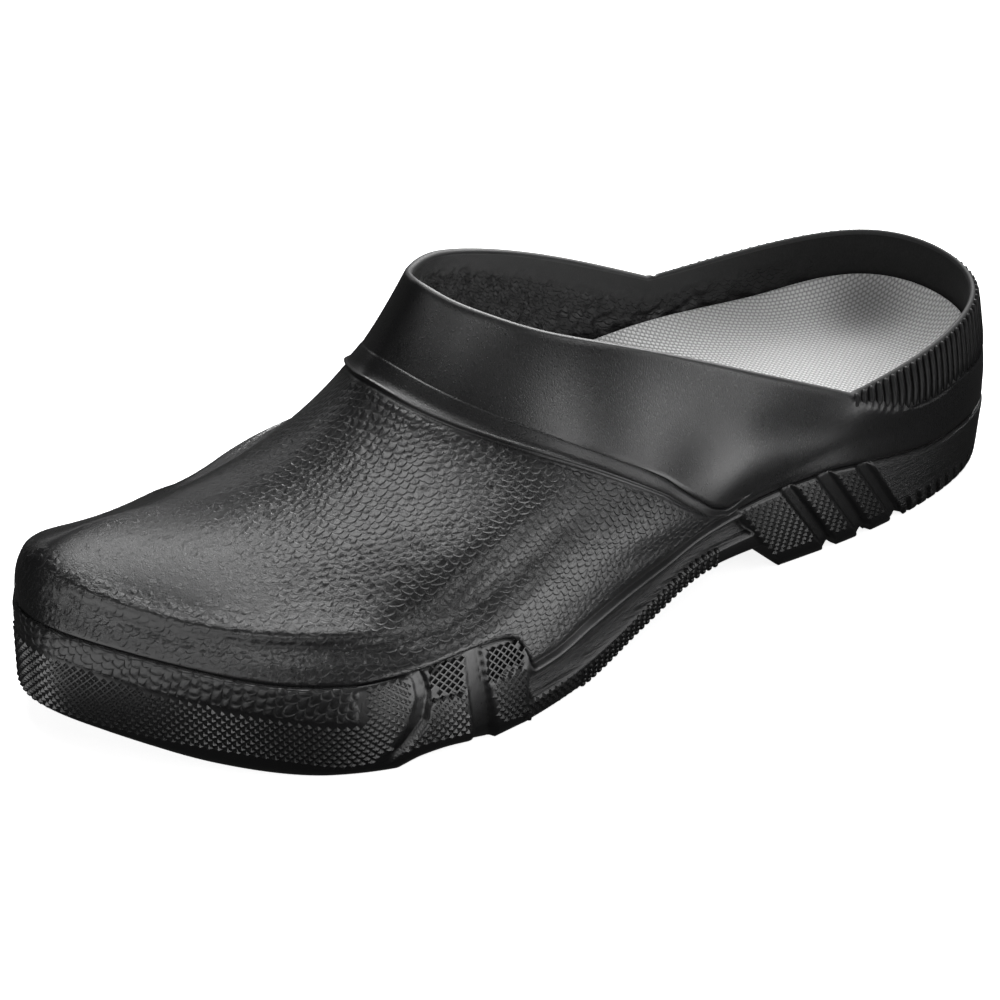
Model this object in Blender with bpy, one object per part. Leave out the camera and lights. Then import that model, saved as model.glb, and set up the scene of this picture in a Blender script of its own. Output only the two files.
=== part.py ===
"""Garden clog, left shoe, standing on its sole: a hollow moulded upper, a sole unit and a loose insole.
Built in millimetres from the back of the heel, then centred and handed over in metres.
+X points to the toe, +Y to the wearer's left (the outer side of this shoe), +Z up."""
import bpy
import bmesh
import numpy as np

NAME = "garden_clog"
MM = 0.001

# Driving dimensions, mm.
WALL = 3.0              # thickness of the upper's wall
RIM_WALL = 2.4          # thickness at the collar edge
RIM_ROUND = 0.8         # height of the rounding on the collar edge
GAP = 0.3               # clearance between separate pieces
BEAD_HEIGHT = 1.3       # how far the band round the collar stands out
SEAT_WALL = 3.4         # from the foot outline in to the recess for the insole
SIDE_GROOVE = 1.8       # depth of the grooves in the side of the sole
SIDE_OUT = 1.3          # how far the side pads stand out from the foot outline
TREAD_DEPTH = 3.0       # depth of the cross grooves underneath
TREAD_WIDTH = 4.5

# Sections round the upper, from the back of the heel along the outer side to the toe and back.
# name, foot x y, ridge inset z, crown inset z, mid x y z, band x y z, band width, rim x y z
SECTIONS = [
    ("heel back", 0, 0, 0, 24, 0, 27, 0.2, 0, 32, 0.5, 0, 40, 2.5, 1, 0, 49.2),
    ("heel corner outer", 7.2, 24.7, 0, 24, 0, 27, 7.4, 24.4, 32, 8, 23.6, 40, 2.5, 9, 21.3, 49),
    ("heel outer", 32, 37.4, 0, 24, 0, 27, 32.2, 37.2, 31.5, 32.5, 36.7, 39, 2.5, 33, 34.8, 47.4),
    ("notch outer", 72, 41, 0, 28.5, 0, 31, 72, 41.4, 34.5, 72, 41.5, 39.5, 2.5, 71.5, 40.3, 45.6),
    ("waist outer", 110, 39.6, -0.5, 25, -1, 26.6, 110.5, 41, 28.4, 110.5, 41.6, 31, 2.5, 105, 40.2, 62.6),
    ("mid outer", 151, 48.5, -0.3, 24.5, -0.4, 28.5, 144.5, 48.2, 34, 137, 46, 42, 4.5, 138, 35, 78),
    ("ball outer", 187, 57, 0.6, 35, 2.2, 41, 175.5, 50, 49.5, 160.5, 43, 57, 6, 158, 27, 85.2),
    ("little toe", 222, 55, 3.2, 37.3, 9, 42.3, 201, 41, 53.5, 178.5, 32, 65.5, 7, 169, 18.3, 89.5),
    ("toe outer", 254, 35.5, 3.6, 38.4, 10, 42.8, 223, 23, 54, 191, 17, 71.5, 7.5, 175.5, 10, 92.4),
    ("toe front outer", 274, 10, 3.4, 41.3, 10.5, 46.3, 234, 5, 55, 195, 4, 74, 7.5, 178.3, 3, 94.2),
    ("toe tip", 284, -16, 2.6, 46, 9.5, 49.9, 238, -8, 53.8, 194.3, -5, 73, 7.5, 178.3, -3, 94.2),
    ("toe inner", 273, -34, 3.2, 41.8, 10.5, 45.6, 231, -17, 51.3, 188.3, -16.8, 68.6, 7.5, 175.5, -9.5, 92.4),
    ("big toe", 245, -44.5, 2.8, 34, 8.5, 37.2, 210, -31, 43.6, 176.3, -30, 61, 7, 169, -17.5, 89.2),
    ("ball inner", 200, -46, 1.2, 34.5, 3.2, 38.3, 180, -42, 45.5, 160, -42, 55.5, 6, 158, -26.5, 85.3),
    ("mid inner", 150, -43.5, -0.5, 25, -1, 29, 144, -45.7, 34, 137, -46, 42, 4.5, 138, -36, 77.3),
    ("waist inner", 108, -42, -0.4, 25.2, -0.8, 26.7, 108.5, -43.2, 28.4, 109, -43.8, 31, 2.5, 105, -42.5, 62.3),
    ("notch inner", 72, -42, 0, 28.5, 0, 31, 72, -42.8, 34.5, 72, -43.2, 39.5, 2.5, 71.5, -43.3, 45.5),
    ("heel inner", 33, -38, 0, 24, 0, 27, 33, -37.6, 31.5, 33, -36.8, 39, 2.5, 33, -35.2, 47.2),
    ("heel corner inner", 9, -25, 0, 24, 0, 27, 9, -24.6, 32, 9, -23.7, 40, 2.5, 9.3, -21.6, 49),
]
NOTCH_OUTER, NOTCH_INNER = 3, 16

# Height profiles along the shoe: x, z.
FEATHER = [(0, 19), (33, 19), (46, 20.5), (64, 23.5), (78, 25.2), (90, 25), (108, 23.5), (120, 22.5),
           (135, 20.8), (152, 20.4), (164, 19.5), (178, 17.2), (185, 17), (191, 26), (196, 28.6),
           (206, 29.6), (222, 27.5), (235, 26), (245, 26.3), (265, 29.3), (285, 32.4)]
TREAD = [(0, 1.5), (14, 0), (90, 0), (96.5, 8.5), (115, 8.6), (140, 4.4), (168, 0), (238, 0),
         (260, 2.3), (285, 8)]
SEAT = [(0, 16), (60, 16.5), (110, 15.5), (160, 12.5), (210, 13), (250, 16), (285, 21)]
FOOTBED = [(0, 28), (40, 26.5), (80, 27), (110, 26), (150, 21.5), (190, 18.5), (250, 20.5), (285, 25.5)]
CUP = [(0, 11), (20, 9), (40, 7), (80, 9), (110, 9.5), (150, 4), (190, 1), (285, 1)]
CUP_REACH = 20.0        # how far in from its edge the footbed curves up

# Side wall of the sole, bottom to top: share of its height and how far it stands out from the
# foot outline, in the forefoot, at the waist, on the heel pads and round the back of the heel.
SIDE = [
    ("tread edge", 0.00, -2.2, 0.00, -2.0, 0.00, -2.6, 0.00, -2.4),
    ("bevel top", 0.17, 0.6, 0.10, -0.4, 0.14, 0.5, 0.14, -1.0),
    ("band middle", 0.42, 1.3, 0.30, 0.0, 0.45, 1.2, 0.45, -0.4),
    ("band top", 0.64, 1.3, 0.40, -1.8, 0.75, 1.2, 0.75, 0.0),
    ("strip foot", 0.67, 0.7, 0.68, -2.2, 0.85, 1.2, 0.85, 0.1),
    ("lip foot", 0.95, 1.0, 0.82, 0.2, 0.95, 1.1, 0.95, 0.2),
    ("top edge", 1.00, 0.5, 1.00, 0.3, 1.00, 0.6, 1.00, 0.1),
]
PAD_LEAN = 0.69         # forward lean of the heel pads, mm per mm of height
BACK_END, PAD_START, PAD_END, WAIST_START, WAIST_END, FORE_START = 45, 49, 89, 93, 180, 191
# Extra inset of the tread edge between the flex grooves: x, mm.
EDGE_IN = [(198, 0), (205, 3), (211, 4.4), (217, 3.2), (224, 0)]

# Grooves down both sides of the sole: width, then x z from the top down. Where the last row
# has no z, the groove turns under the tread there and joins the other side.
SIDE_GROOVES = [
    ("heel 1", 3.6, [(95.5, 31), (77, 4.5), (74, None)]),
    ("heel 2", 4.0, [(84, 31), (65.5, 4.5), (62.5, None)]),
    ("heel 3", 4.4, [(70.5, 31), (52, 4.5), (49, None)]),
    ("flex rear", 5.5, [(205.5, 32), (203.5, 17), (201, 4.5), (200.5, None)]),
    ("flex front", 4.5, [(222, 32), (218.5, 22), (219.5, 13), (224, 6), (228, 3.2)]),
]
TREAD_GROOVES = [20, 34, 176, 188.5, 213, 226.5, 240, 254]
TREAD_RIM = 8.0         # what the cross grooves leave at the edge of the tread

# Stations along the shoe, where the columns of every piece stand.
STATIONS = [0, 0.8, 3, 7, 12.5, 20, 28, 37, 46, 55, 64, 72, 80, 86, 91, 94, 97, 101, 106, 112, 120, 128, 137,
            146, 155, 164, 172, 179, 185, 188, 191, 196, 201, 208, 216, 224, 232, 240, 248, 256, 263,
            269, 274.5, 278.7, 281.7, 283.4]


def spline_through(knots, rows, at, period=None):
    """Smooth curve through the rows, closed when a period is given."""
    k, y = np.asarray(knots, float), np.asarray(rows, float)
    if period is not None:
        k, y = np.append(k, k[0] + period), np.vstack([y, y[:1]])
        at = (np.asarray(at, float) - k[0]) % period + k[0]
    n, h = len(k), np.diff(k)
    slope = np.diff(y, axis=0) / h[:, None]
    a, b = np.zeros((n, n)), np.zeros_like(y)
    for i in range(1, n - 1):
        a[i, i - 1:i + 2] = h[i - 1], 2 * (h[i - 1] + h[i]), h[i]
        b[i] = 6 * (slope[i] - slope[i - 1])
    if period is not None:
        a[0, 0], a[0, -1] = 1, -1
        a[-1, 0], a[-1, 1], a[-1, -2], a[-1, -1] = 2 * h[0], h[0], h[-1], 2 * h[-1]
        b[-1] = 6 * (slope[0] - slope[-1])
    else:
        a[0, 0] = a[-1, -1] = 1
    m = np.linalg.solve(a, b)
    at = np.asarray(at, float)
    i = np.clip(np.searchsorted(k, at, side="right") - 1, 0, n - 2)
    step, left, right = h[i][:, None], (k[i + 1] - at)[:, None], (at - k[i])[:, None]
    bend = (m[i] * left ** 3 + m[i + 1] * right ** 3) / (6 * step)
    return bend + (y[i] / step - m[i] * step / 6) * left + (y[i + 1] / step - m[i + 1] * step / 6) * right


def profile(table, x):
    """Height along the shoe through the table, without overshoot between its rows."""
    xk, zk = np.array(table, float).T
    x = np.clip(np.asarray(x, float), xk[0], xk[-1])
    h, d = np.diff(xk), np.diff(zk) / np.diff(xk)
    m = np.zeros(len(xk))
    for i in range(1, len(xk) - 1):
        if d[i - 1] * d[i] > 0:
            w1, w2 = 2 * h[i] + h[i - 1], h[i] + 2 * h[i - 1]
            m[i] = (w1 + w2) / (w1 / d[i - 1] + w2 / d[i])
    m[0], m[-1] = d[0], d[-1]
    i = np.clip(np.searchsorted(xk, x, side="right") - 1, 0, len(xk) - 2)
    t = (x - xk[i]) / h[i]
    return ((2 * t ** 3 - 3 * t ** 2 + 1) * zk[i] + (t ** 3 - 2 * t ** 2 + t) * h[i] * m[i]
            + (3 * t ** 2 - 2 * t ** 3) * zk[i + 1] + (t ** 3 - t ** 2) * h[i] * m[i + 1])


def ramp(x, low, high):
    t = np.clip((np.asarray(x, float) - low) / (high - low), 0, 1)
    return t * t * (3 - 2 * t)


# The foot outline and the columns that every piece shares.
TABLE = np.array([row[1:] for row in SECTIONS], float)
FOOT = TABLE[:, 0:2]
CHORD = np.linalg.norm(np.diff(np.vstack([FOOT, FOOT[:1]]), axis=0), axis=1)
KNOTS = np.append(0, np.cumsum(CHORD ** 0.75))
PERIOD, KNOTS = KNOTS[-1], KNOTS[:-1]


def outline(u):
    return spline_through(KNOTS, FOOT, u, PERIOD)


def columns():
    """Places round the outline: heel to toe on the outer side, then toe to heel on the inner side."""
    u = np.linspace(-PERIOD / 8, PERIOD * 7 / 8, 6001)
    x = outline(u)[:, 0]
    heel, toe = np.argmin(x), np.argmax(x)
    stations = np.array(STATIONS[1:], float)
    outer = np.interp(stations, x[heel:toe + 1], u[heel:toe + 1])
    u2 = np.append(u[toe:], u[:heel + 1] + PERIOD)
    x2 = np.append(x[toe:], x[:heel + 1])
    inner = np.interp(stations, x2[::-1], u2[::-1])
    return np.concatenate([[u[heel]], outer, [u[toe]], inner[::-1]])


def inward(u):
    """Unit normal in plan, pointing into the shoe."""
    t = outline(u + 0.02) - outline(u - 0.02)
    n = np.stack([t[:, 1], -t[:, 0]], axis=1)
    return n / np.linalg.norm(n, axis=1)[:, None]


U = columns()
OUT = outline(U)
INWARD = inward(U)
FEATHER_Z = profile(FEATHER, OUT[:, 0])
COUNT = len(U)


def rim_curve(u):
    """Collar edge: a front and a heel curve that meet in a notch on each side."""
    rim = TABLE[:, 13:16]
    front = spline_through(KNOTS[NOTCH_OUTER:NOTCH_INNER + 1], rim[NOTCH_OUTER:NOTCH_INNER + 1], u)
    order = list(range(NOTCH_INNER, len(rim))) + list(range(NOTCH_OUTER + 1))
    knots = np.concatenate([KNOTS[NOTCH_INNER:] - PERIOD, KNOTS[:NOTCH_OUTER + 1]])
    wrapped = np.where(u > KNOTS[NOTCH_INNER], u - PERIOD, u)
    heel = spline_through(knots, rim[order], wrapped)
    is_front = (u >= KNOTS[NOTCH_OUTER]) & (u <= KNOTS[NOTCH_INNER])
    return np.where(is_front[:, None], front, heel)


def control_curves():
    """Foot, wall, ridge, crown, mid, band and rim points of every column."""
    rows = spline_through(KNOTS, TABLE, U, PERIOD)
    foot = np.column_stack([OUT, FEATHER_Z + GAP])

    def inset(distance, height):
        return np.column_stack([OUT + INWARD * distance[:, None], height])

    ridge = inset(rows[:, 2], rows[:, 3])
    crown = inset(rows[:, 4], rows[:, 5])
    wall = inset(rows[:, 2] * 0.12, foot[:, 2] + 0.55 * (rows[:, 3] - foot[:, 2]))
    curves = np.stack([foot, wall, ridge, crown, rows[:, 6:9], rows[:, 9:12], rim_curve(U)], axis=1)
    return curves, rows[:, 12]


CURVES, BAND_WIDTH = control_curves()
LENGTHS = np.concatenate([np.zeros((COUNT, 1)),
                          np.cumsum(np.linalg.norm(np.diff(CURVES, axis=1), axis=2), axis=1)], axis=1)
BAND = 5


def skin(places):
    """Points of the plain skin; places holds one row of distances along each column."""
    return np.stack([spline_through(LENGTHS[i], CURVES[i], places[i]) for i in range(COUNT)])


def normals(grid):
    """Outward unit normals of a grid of columns."""
    around = np.roll(grid, -1, axis=0) - np.roll(grid, 1, axis=0)
    along = np.gradient(grid, axis=1)
    n = np.cross(around, along)
    n /= np.linalg.norm(n, axis=2)[:, :, None]
    return n if (n[0, :, 0] < 0).mean() > 0.5 else -n


def places_between(splits):
    """Distances along each column: the control points, with some places between each pair."""
    parts = []
    for k, count in enumerate(splits):
        share = np.arange(count) / count
        parts.append(LENGTHS[:, [k]] + share * (LENGTHS[:, [k + 1]] - LENGTHS[:, [k]]))
    return np.hstack(parts + [LENGTHS[:, -1:]])


def ring_faces(rows, count, start=0):
    """Quads between rows of a closed ring; vertex number is start + row * count + column."""
    faces = []
    for r in range(rows - 1):
        for c in range(count):
            d = (c + 1) % count
            a, b = start + r * count, start + (r + 1) * count
            faces.append((a + c, a + d, b + d, b + c))
    return faces


def make_object(name, points, faces, colour, roughness, collection):
    shift = np.array([X_SHIFT, Y_SHIFT, 0.0])
    mesh = bpy.data.meshes.new(name)
    mesh.from_pydata([tuple(p) for p in (np.asarray(points) - shift) * MM], [], faces)
    work = bmesh.new()
    work.from_mesh(mesh)
    bmesh.ops.recalc_face_normals(work, faces=work.faces)
    if work.calc_volume(signed=True) < 0:
        bmesh.ops.reverse_faces(work, faces=work.faces)
    work.to_mesh(mesh)
    work.free()
    if colour is not None:
        material = bpy.data.materials.new(name + "_material")
        material.use_nodes = True
        shader = material.node_tree.nodes["Principled BSDF"]
        shader.inputs["Base Color"].default_value = (*colour, 1.0)
        shader.inputs["Roughness"].default_value = roughness
        mesh.materials.append(material)
    thing = bpy.data.objects.new(name, mesh)
    collection.objects.link(thing)
    return thing


def band_rows():
    """Distances from the band's lower edge and heights above the skin, for every column."""
    share = np.array([-0.10, 0.02, 0.16, 0.45, 0.72, 0.90, 1.0])
    height = np.array([0.0, 0.62, 0.94, 1.0, 0.82, 0.35, 0.0])
    lift = BEAD_HEIGHT * ramp(BAND_WIDTH, 2.4, 6.0)
    return LENGTHS[:, [BAND]] + share * BAND_WIDTH[:, None], lift[:, None] * height


def build_upper(collection):
    """The hollow shell: outer skin with its raised band, rounded rim, inner skin and foot edge."""
    band_at, band_up = band_rows()
    below = places_between([2, 2, 2, 3, 4, 1])[:, :13]
    rest = LENGTHS[:, -1:] - band_at[:, -1:]
    above = band_at[:, -1:] + rest * np.array([0.2, 0.4, 0.6, 0.8, 0.93, 1.0])
    places = np.hstack([below, band_at, above])
    outer = skin(places)
    lift = np.zeros(places.shape)
    lift[:, below.shape[1]:below.shape[1] + band_up.shape[1]] = band_up
    outer = outer + normals(outer) * lift[:, :, None]

    inner_places = places_between([1, 1, 1, 2, 2, 3])
    inner = skin(inner_places)
    direction = normals(inner)
    thin = np.full(inner_places.shape, WALL)
    thin[:, -2:] = 0.5 * (WALL + RIM_WALL), RIM_WALL
    inner = inner - direction * thin[:, :, None]
    inner[:, 0] = np.column_stack([OUT + INWARD * WALL, FEATHER_Z + GAP])
    inner[:, 1, 2] = np.maximum(inner[:, 1, 2], FEATHER_Z + GAP + 0.8)

    rise = outer[:, -1] - outer[:, -2]
    rise /= np.linalg.norm(rise, axis=1)[:, None]
    crest = 0.5 * (outer[:, -1] + inner[:, -1]) + rise * RIM_ROUND
    rings = [outer[:, r] for r in range(outer.shape[1])] + [crest]
    rings += [inner[:, r] for r in range(inner.shape[1] - 1, -1, -1)]
    rings.append(rings[0])
    faces = ring_faces(len(rings), COUNT)
    total = (len(rings) - 1) * COUNT
    faces = [tuple(v % total for v in face) for face in faces]
    return make_object("upper", np.vstack(rings[:-1]), faces, (0.02, 0.02, 0.022), 0.5, collection)


def planks(ring, across, height, start, ring_start):
    """Cross strips that close a ring from its outer to its inner side, with points between."""
    half = COUNT // 2
    points, lines = [], []
    for left in range(1, half):
        right = COUNT - left
        line = [ring_start + left]
        for j in range(1, across):
            plan = ring[left] + (ring[right] - ring[left]) * j / across
            points.append((plan[0], plan[1], height(plan)))
            line.append(start + len(points) - 1)
        lines.append(line + [ring_start + right])
    faces = []
    for a, b in zip(lines[:-1], lines[1:]):
        faces += [(a[j], a[j + 1], b[j + 1], b[j]) for j in range(across)]
    for tip, line in ((ring_start, lines[0]), (ring_start + half, lines[-1])):
        faces += [(tip, line[j], line[j + 1]) for j in range(across)]
    return points, faces


def side_ring(row):
    """One ring of the sole's side wall, blended between forefoot, waist and heel."""
    x = OUT[:, 0]
    bottom = profile(TREAD, x)
    leaned = x - PAD_LEAN * (bottom + row[5] * (FEATHER_Z - bottom))
    back = 1 - ramp(leaned, BACK_END, PAD_START)
    waist = ramp(leaned, PAD_END, WAIST_START) * (1 - ramp(x, WAIST_END, FORE_START))
    fore = ramp(x, WAIST_END, FORE_START)
    pads = 1 - back - waist - fore
    share = fore * row[1] + waist * row[3] + pads * row[5] + back * row[7]
    out = fore * row[2] + waist * row[4] + pads * row[6] + back * row[8]
    if row[0] == "tread edge":
        out = out - profile(EDGE_IN, x)
    plan = OUT - INWARD * out[:, None]
    return np.column_stack([plan, bottom + share * (FEATHER_Z - bottom)])


def build_outsole(collection, cutters):
    """The sole: side wall, tread face, top ring and the recess for the insole, then its grooves."""
    rings = [side_ring(row) for row in SIDE]
    plan = OUT + INWARD * SEAT_WALL
    rings.append(np.column_stack([plan, FEATHER_Z]))
    rings.append(np.column_stack([plan, profile(SEAT, OUT[:, 0])]))
    points = list(np.vstack(rings))
    faces = ring_faces(len(rings), COUNT)
    low, low_faces = planks(rings[0], 4, lambda plan: float(profile(TREAD, [plan[0]])[0]), len(points), 0)
    points += low
    high, high_faces = planks(rings[-1], 3, lambda plan: float(profile(SEAT, [plan[0]])[0]), len(points),
                              (len(rings) - 1) * COUNT)
    points += high
    faces += low_faces + high_faces
    sole = make_object("outsole", points, faces, (0.018, 0.018, 0.02), 0.6, collection)
    cut_grooves(sole, cutters)
    return sole


def groove_bars(width, path):
    """Bars that run down both side walls, joined under the tread where the groove goes through."""
    half = COUNT // 2
    sides = (np.linspace(U[0], U[half], 1500), np.linspace(U[0] + PERIOD, U[half], 1500))
    bars = []
    for side, stops in ((sides[0], path), (sides[1], path[::-1])):
        wall, normal = outline(side), inward(side)
        rings = []
        for x, z in stops:
            ring = []
            for along, inside in ((-0.5, False), (0.5, False), (0.5, True), (-0.5, True)):
                i = np.argmin(np.abs(wall[:, 0] - (x + along * width)))
                plan = wall[i] + normal[i] * (SIDE_GROOVE - SIDE_OUT if inside else -6.0)
                under = float(profile(TREAD, [x])[0]) + TREAD_DEPTH if inside else -4.0
                ring.append((x + along * width, plan[1], under if z is None else z))
            rings.append(ring)
        bars.append(rings)
    return [bars[0] + bars[1]] if path[-1][1] is None else bars


def tread_bar(x):
    """Rings of a straight bar across the tread face, inside its rim."""
    top = float(profile(TREAD, [x])[0]) + TREAD_DEPTH
    half = COUNT // 2
    ends = (np.interp(x, OUT[:half, 0], OUT[:half, 1]) - TREAD_RIM,
            np.interp(x, OUT[:half:-1, 0], OUT[:half:-1, 1]) + TREAD_RIM)
    low, high = x - TREAD_WIDTH / 2, x + TREAD_WIDTH / 2
    return [[(low, y, -4.0), (high, y, -4.0), (high, y, top), (low, y, top)] for y in ends]


def cut_grooves(sole, cutters):
    """All the bars in one cutter, taken out of the sole in one step."""
    bars = [tread_bar(x) for x in TREAD_GROOVES]
    for name, width, path in SIDE_GROOVES:
        bars += groove_bars(width, path)
    points, faces = [], []
    for rings in bars:
        first = len(points)
        points += [point for ring in rings for point in ring]
        faces += ring_faces(len(rings), 4, first)
        faces += [tuple(range(first, first + 4)), tuple(range(len(points) - 4, len(points)))]
    cutter = make_object("sole_grooves", points, faces, None, 0, cutters)
    modifier = sole.modifiers.new("grooves", "BOOLEAN")
    modifier.operation = "DIFFERENCE"
    modifier.solver = "EXACT"
    modifier.object = cutter


def build_insole(collection):
    """The footbed: it lies in the recess, and its edge follows the inside of the upper up the heel."""
    x = OUT[:, 0]
    places = places_between([3, 3, 3, 6, 8, 8])
    inside = skin(places)
    inside = inside - normals(inside) * (WALL + GAP + 0.2)
    gap = SEAT_WALL + GAP + 0.2
    low = np.column_stack([OUT + INWARD * gap, profile(SEAT, x) + GAP])
    edge_z = profile(FOOTBED, x) + profile(CUP, x)

    def wall_point(height, extra):
        """Each column's point at a height: straight up in the recess, then along the inside."""
        ring = []
        for i in range(COUNT):
            plan = OUT[i] + INWARD[i] * (gap + extra)
            if height[i] > FEATHER_Z[i] + 1.0:
                up = inside[i][np.argsort(inside[i][:, 2])]
                at = np.array([np.interp(height[i], up[:, 2], up[:, k]) for k in (0, 1)])
                at = at + INWARD[i] * (extra + max(0.0, np.dot(OUT[i] + INWARD[i] * gap - at, INWARD[i])))
                plan = at
            ring.append((plan[0], plan[1], height[i]))
        return np.array(ring)

    waist = wall_point(np.minimum(edge_z - 1.0, np.maximum(profile(SEAT, x) + 2.0, FEATHER_Z + 0.5)), 0.0)
    edge = wall_point(edge_z, 0.8)
    rings = [low, waist, wall_point(edge_z - 0.6, 0.0), edge]
    for depth in (4.0, 9.0, 15.0):
        plan = edge[:, :2] + INWARD * depth
        rise = profile(CUP, x) * (1 - depth / CUP_REACH) ** 2
        rings.append(np.column_stack([plan, profile(FOOTBED, plan[:, 0]) + rise]))
    points = list(np.vstack(rings))
    faces = ring_faces(len(rings), COUNT)
    under, under_faces = planks(low, 3, lambda plan: float(profile(SEAT, [plan[0]])[0]) + GAP, len(points), 0)
    points += under
    over, over_faces = planks(rings[-1], 2, lambda plan: float(profile(FOOTBED, [plan[0]])[0]), len(points),
                              (len(rings) - 1) * COUNT)
    points += over
    faces += under_faces + over_faces
    return make_object("insole", points, faces, (0.55, 0.56, 0.57), 0.9, collection)


for thing in list(bpy.data.objects):
    bpy.data.objects.remove(thing, do_unlink=True)
parts = bpy.data.collections.new(NAME)
cutter_set = bpy.data.collections.new("cutters")
bpy.context.scene.collection.children.link(parts)
bpy.context.scene.collection.children.link(cutter_set)

WIDEST = np.vstack([side_ring(row)[:, :2] for row in SIDE])
X_SHIFT = 0.5 * (WIDEST[:, 0].min() + WIDEST[:, 0].max())
Y_SHIFT = 0.5 * (WIDEST[:, 1].min() + WIDEST[:, 1].max())

build_upper(parts)
build_outsole(parts, cutter_set)
build_insole(parts)
for cutter in cutter_set.objects:
    cutter.hide_render = True
    cutter.display_type = "WIRE"
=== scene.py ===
"""Garden clog, left shoe: the visual model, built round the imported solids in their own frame.
Lengths are millimetres from the back of the heel, from the heel's centre line and up from the floor
until a mesh is made. +X points to the toe, +Y to the outer side of the shoe, +Z up."""
import math
import bmesh
import bpy
import numpy as np
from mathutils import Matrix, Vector


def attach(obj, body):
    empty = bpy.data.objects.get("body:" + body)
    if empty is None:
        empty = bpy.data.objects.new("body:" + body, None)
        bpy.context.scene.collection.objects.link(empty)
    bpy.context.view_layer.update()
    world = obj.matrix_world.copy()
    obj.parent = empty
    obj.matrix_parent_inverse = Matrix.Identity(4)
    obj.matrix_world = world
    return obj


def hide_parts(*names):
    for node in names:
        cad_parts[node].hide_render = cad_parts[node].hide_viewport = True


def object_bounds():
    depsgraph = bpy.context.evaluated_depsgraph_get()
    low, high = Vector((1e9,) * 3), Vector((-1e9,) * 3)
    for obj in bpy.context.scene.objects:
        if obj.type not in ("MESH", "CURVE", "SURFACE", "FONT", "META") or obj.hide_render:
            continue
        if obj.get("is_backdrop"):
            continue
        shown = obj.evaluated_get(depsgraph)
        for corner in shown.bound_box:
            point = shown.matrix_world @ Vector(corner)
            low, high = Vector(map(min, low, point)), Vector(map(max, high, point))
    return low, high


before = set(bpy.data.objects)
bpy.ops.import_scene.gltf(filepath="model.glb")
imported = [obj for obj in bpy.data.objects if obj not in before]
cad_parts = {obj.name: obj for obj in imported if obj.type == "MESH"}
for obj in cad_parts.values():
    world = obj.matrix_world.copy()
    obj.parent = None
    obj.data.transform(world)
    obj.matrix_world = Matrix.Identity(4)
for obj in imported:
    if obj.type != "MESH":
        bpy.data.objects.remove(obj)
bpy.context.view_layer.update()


# Sole unit. The real one is foamed black rubbery plastic, shot in one mould with the upper: a thick tread,
# knurled pads round the toe, ball and heel with smooth gaps between them, a scaly strip round the toe,
# and a hollowed waist with a lip under the upper.
MM = 0.001
FRAME_ORIGIN = np.array([142.565, 5.809, 0.0])
FOOT = np.array([
    (0, 0), (7.2, 24.7), (32, 37.4), (72, 41), (110, 39.6), (151, 48.5), (187, 57), (222, 55), (254, 35.5),
    (274, 10), (284, -16), (273, -34), (245, -44.5), (200, -46), (150, -43.5), (108, -42), (72, -42),
    (33, -38), (9, -25)], float)
# Heights along the shoe: x, z.
FEATHER = [(0, 19), (33, 19), (46, 20.5), (64, 23.5), (78, 25.2), (90, 25), (108, 23.5), (120, 22.5),
           (135, 20.8), (152, 20.4), (164, 19.5), (178, 17.2), (185, 17), (191, 26), (196, 28.6),
           (206, 29.6), (222, 27.5), (235, 26), (245, 26.3), (265, 29.3), (285, 32.4)]
TREAD = [(0, 1.5), (14, 0), (90, 0), (96.5, 8.5), (115, 8.6), (140, 4.4), (168, 0), (238, 0),
         (260, 2.3), (285, 8)]
SEAT = [(0, 16), (60, 16.5), (110, 15.5), (160, 12.5), (210, 13), (250, 16), (285, 21)]
KNURL_FOOT = [(186, 2.0), (192, 4.2), (205, 5.6), (217, 6.4), (226, 4.4), (236, 3.4), (247, 5.4),
              (259, 7.4), (272, 8.3), (285, 9.4)]
STRIP_FOOT = [(231, 15.3), (237, 15.8), (247, 17.5), (255, 19.2), (262, 20.6), (270, 21.9),
              (276, 23.4), (285, 25.4)]
EDGE_IN = [(198, 0), (205, 3), (211, 4.4), (217, 3.2), (224, 0)]
STRIP_END, FORE_START, FORE_FULL = 232.0, 184.5, 188.5
SEAT_WALL = 3.4
# Side wall: share of the height, and how far it stands out from the foot outline.
WAIST_WALL = [(0, -2.0), (0.06, -1.1), (0.11, -0.8), (0.33, -0.5), (0.37, -0.9), (0.43, -2.4), (0.55, -3.0),
              (0.70, -2.6), (0.82, -0.2), (0.87, 0.3), (0.92, 0.2), (0.955, -0.9), (1, -1.5)]
BACK_WALL = [(0, -2.4), (0.05, -1.6), (0.14, -0.9), (0.45, -0.4), (0.75, 0), (0.93, 0.25), (1, -0.3)]
PAD_OUT, STRIP_OUT, BEVEL_OUT = 0.5, 0.55, -2.2
# Smooth gaps between the pads. At the ball: height with the rear and front edge; at the heel: the two
# edges at floor level, because the gaps there lean forward with the pads.
BALL_GAPS = [
    ("crescent", [(2.5, 227.5, 231), (7.2, 222.6, 225.6), (13, 217.6, 221.8), (20.3, 216.3, 220),
                  (25.2, 217.4, 220.8), (29.7, 219.4, 222.8)]),
    ("straight", [(0, 197.2, 203.8), (7, 198.4, 204.9), (18, 200.6, 206.3), (30, 202.8, 207.7)]),
]
HEEL_GAPS = [(71.6, 75.8), (59.2, 64.0), (47.3, 51.6)]
PAD_LEAN, PAD_FRONT, HEEL_PAD_FOOT = 0.69, 90.4, 5.0
GAP_DEEP, GAP_SHALLOW = 1.9, 0.9
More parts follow.
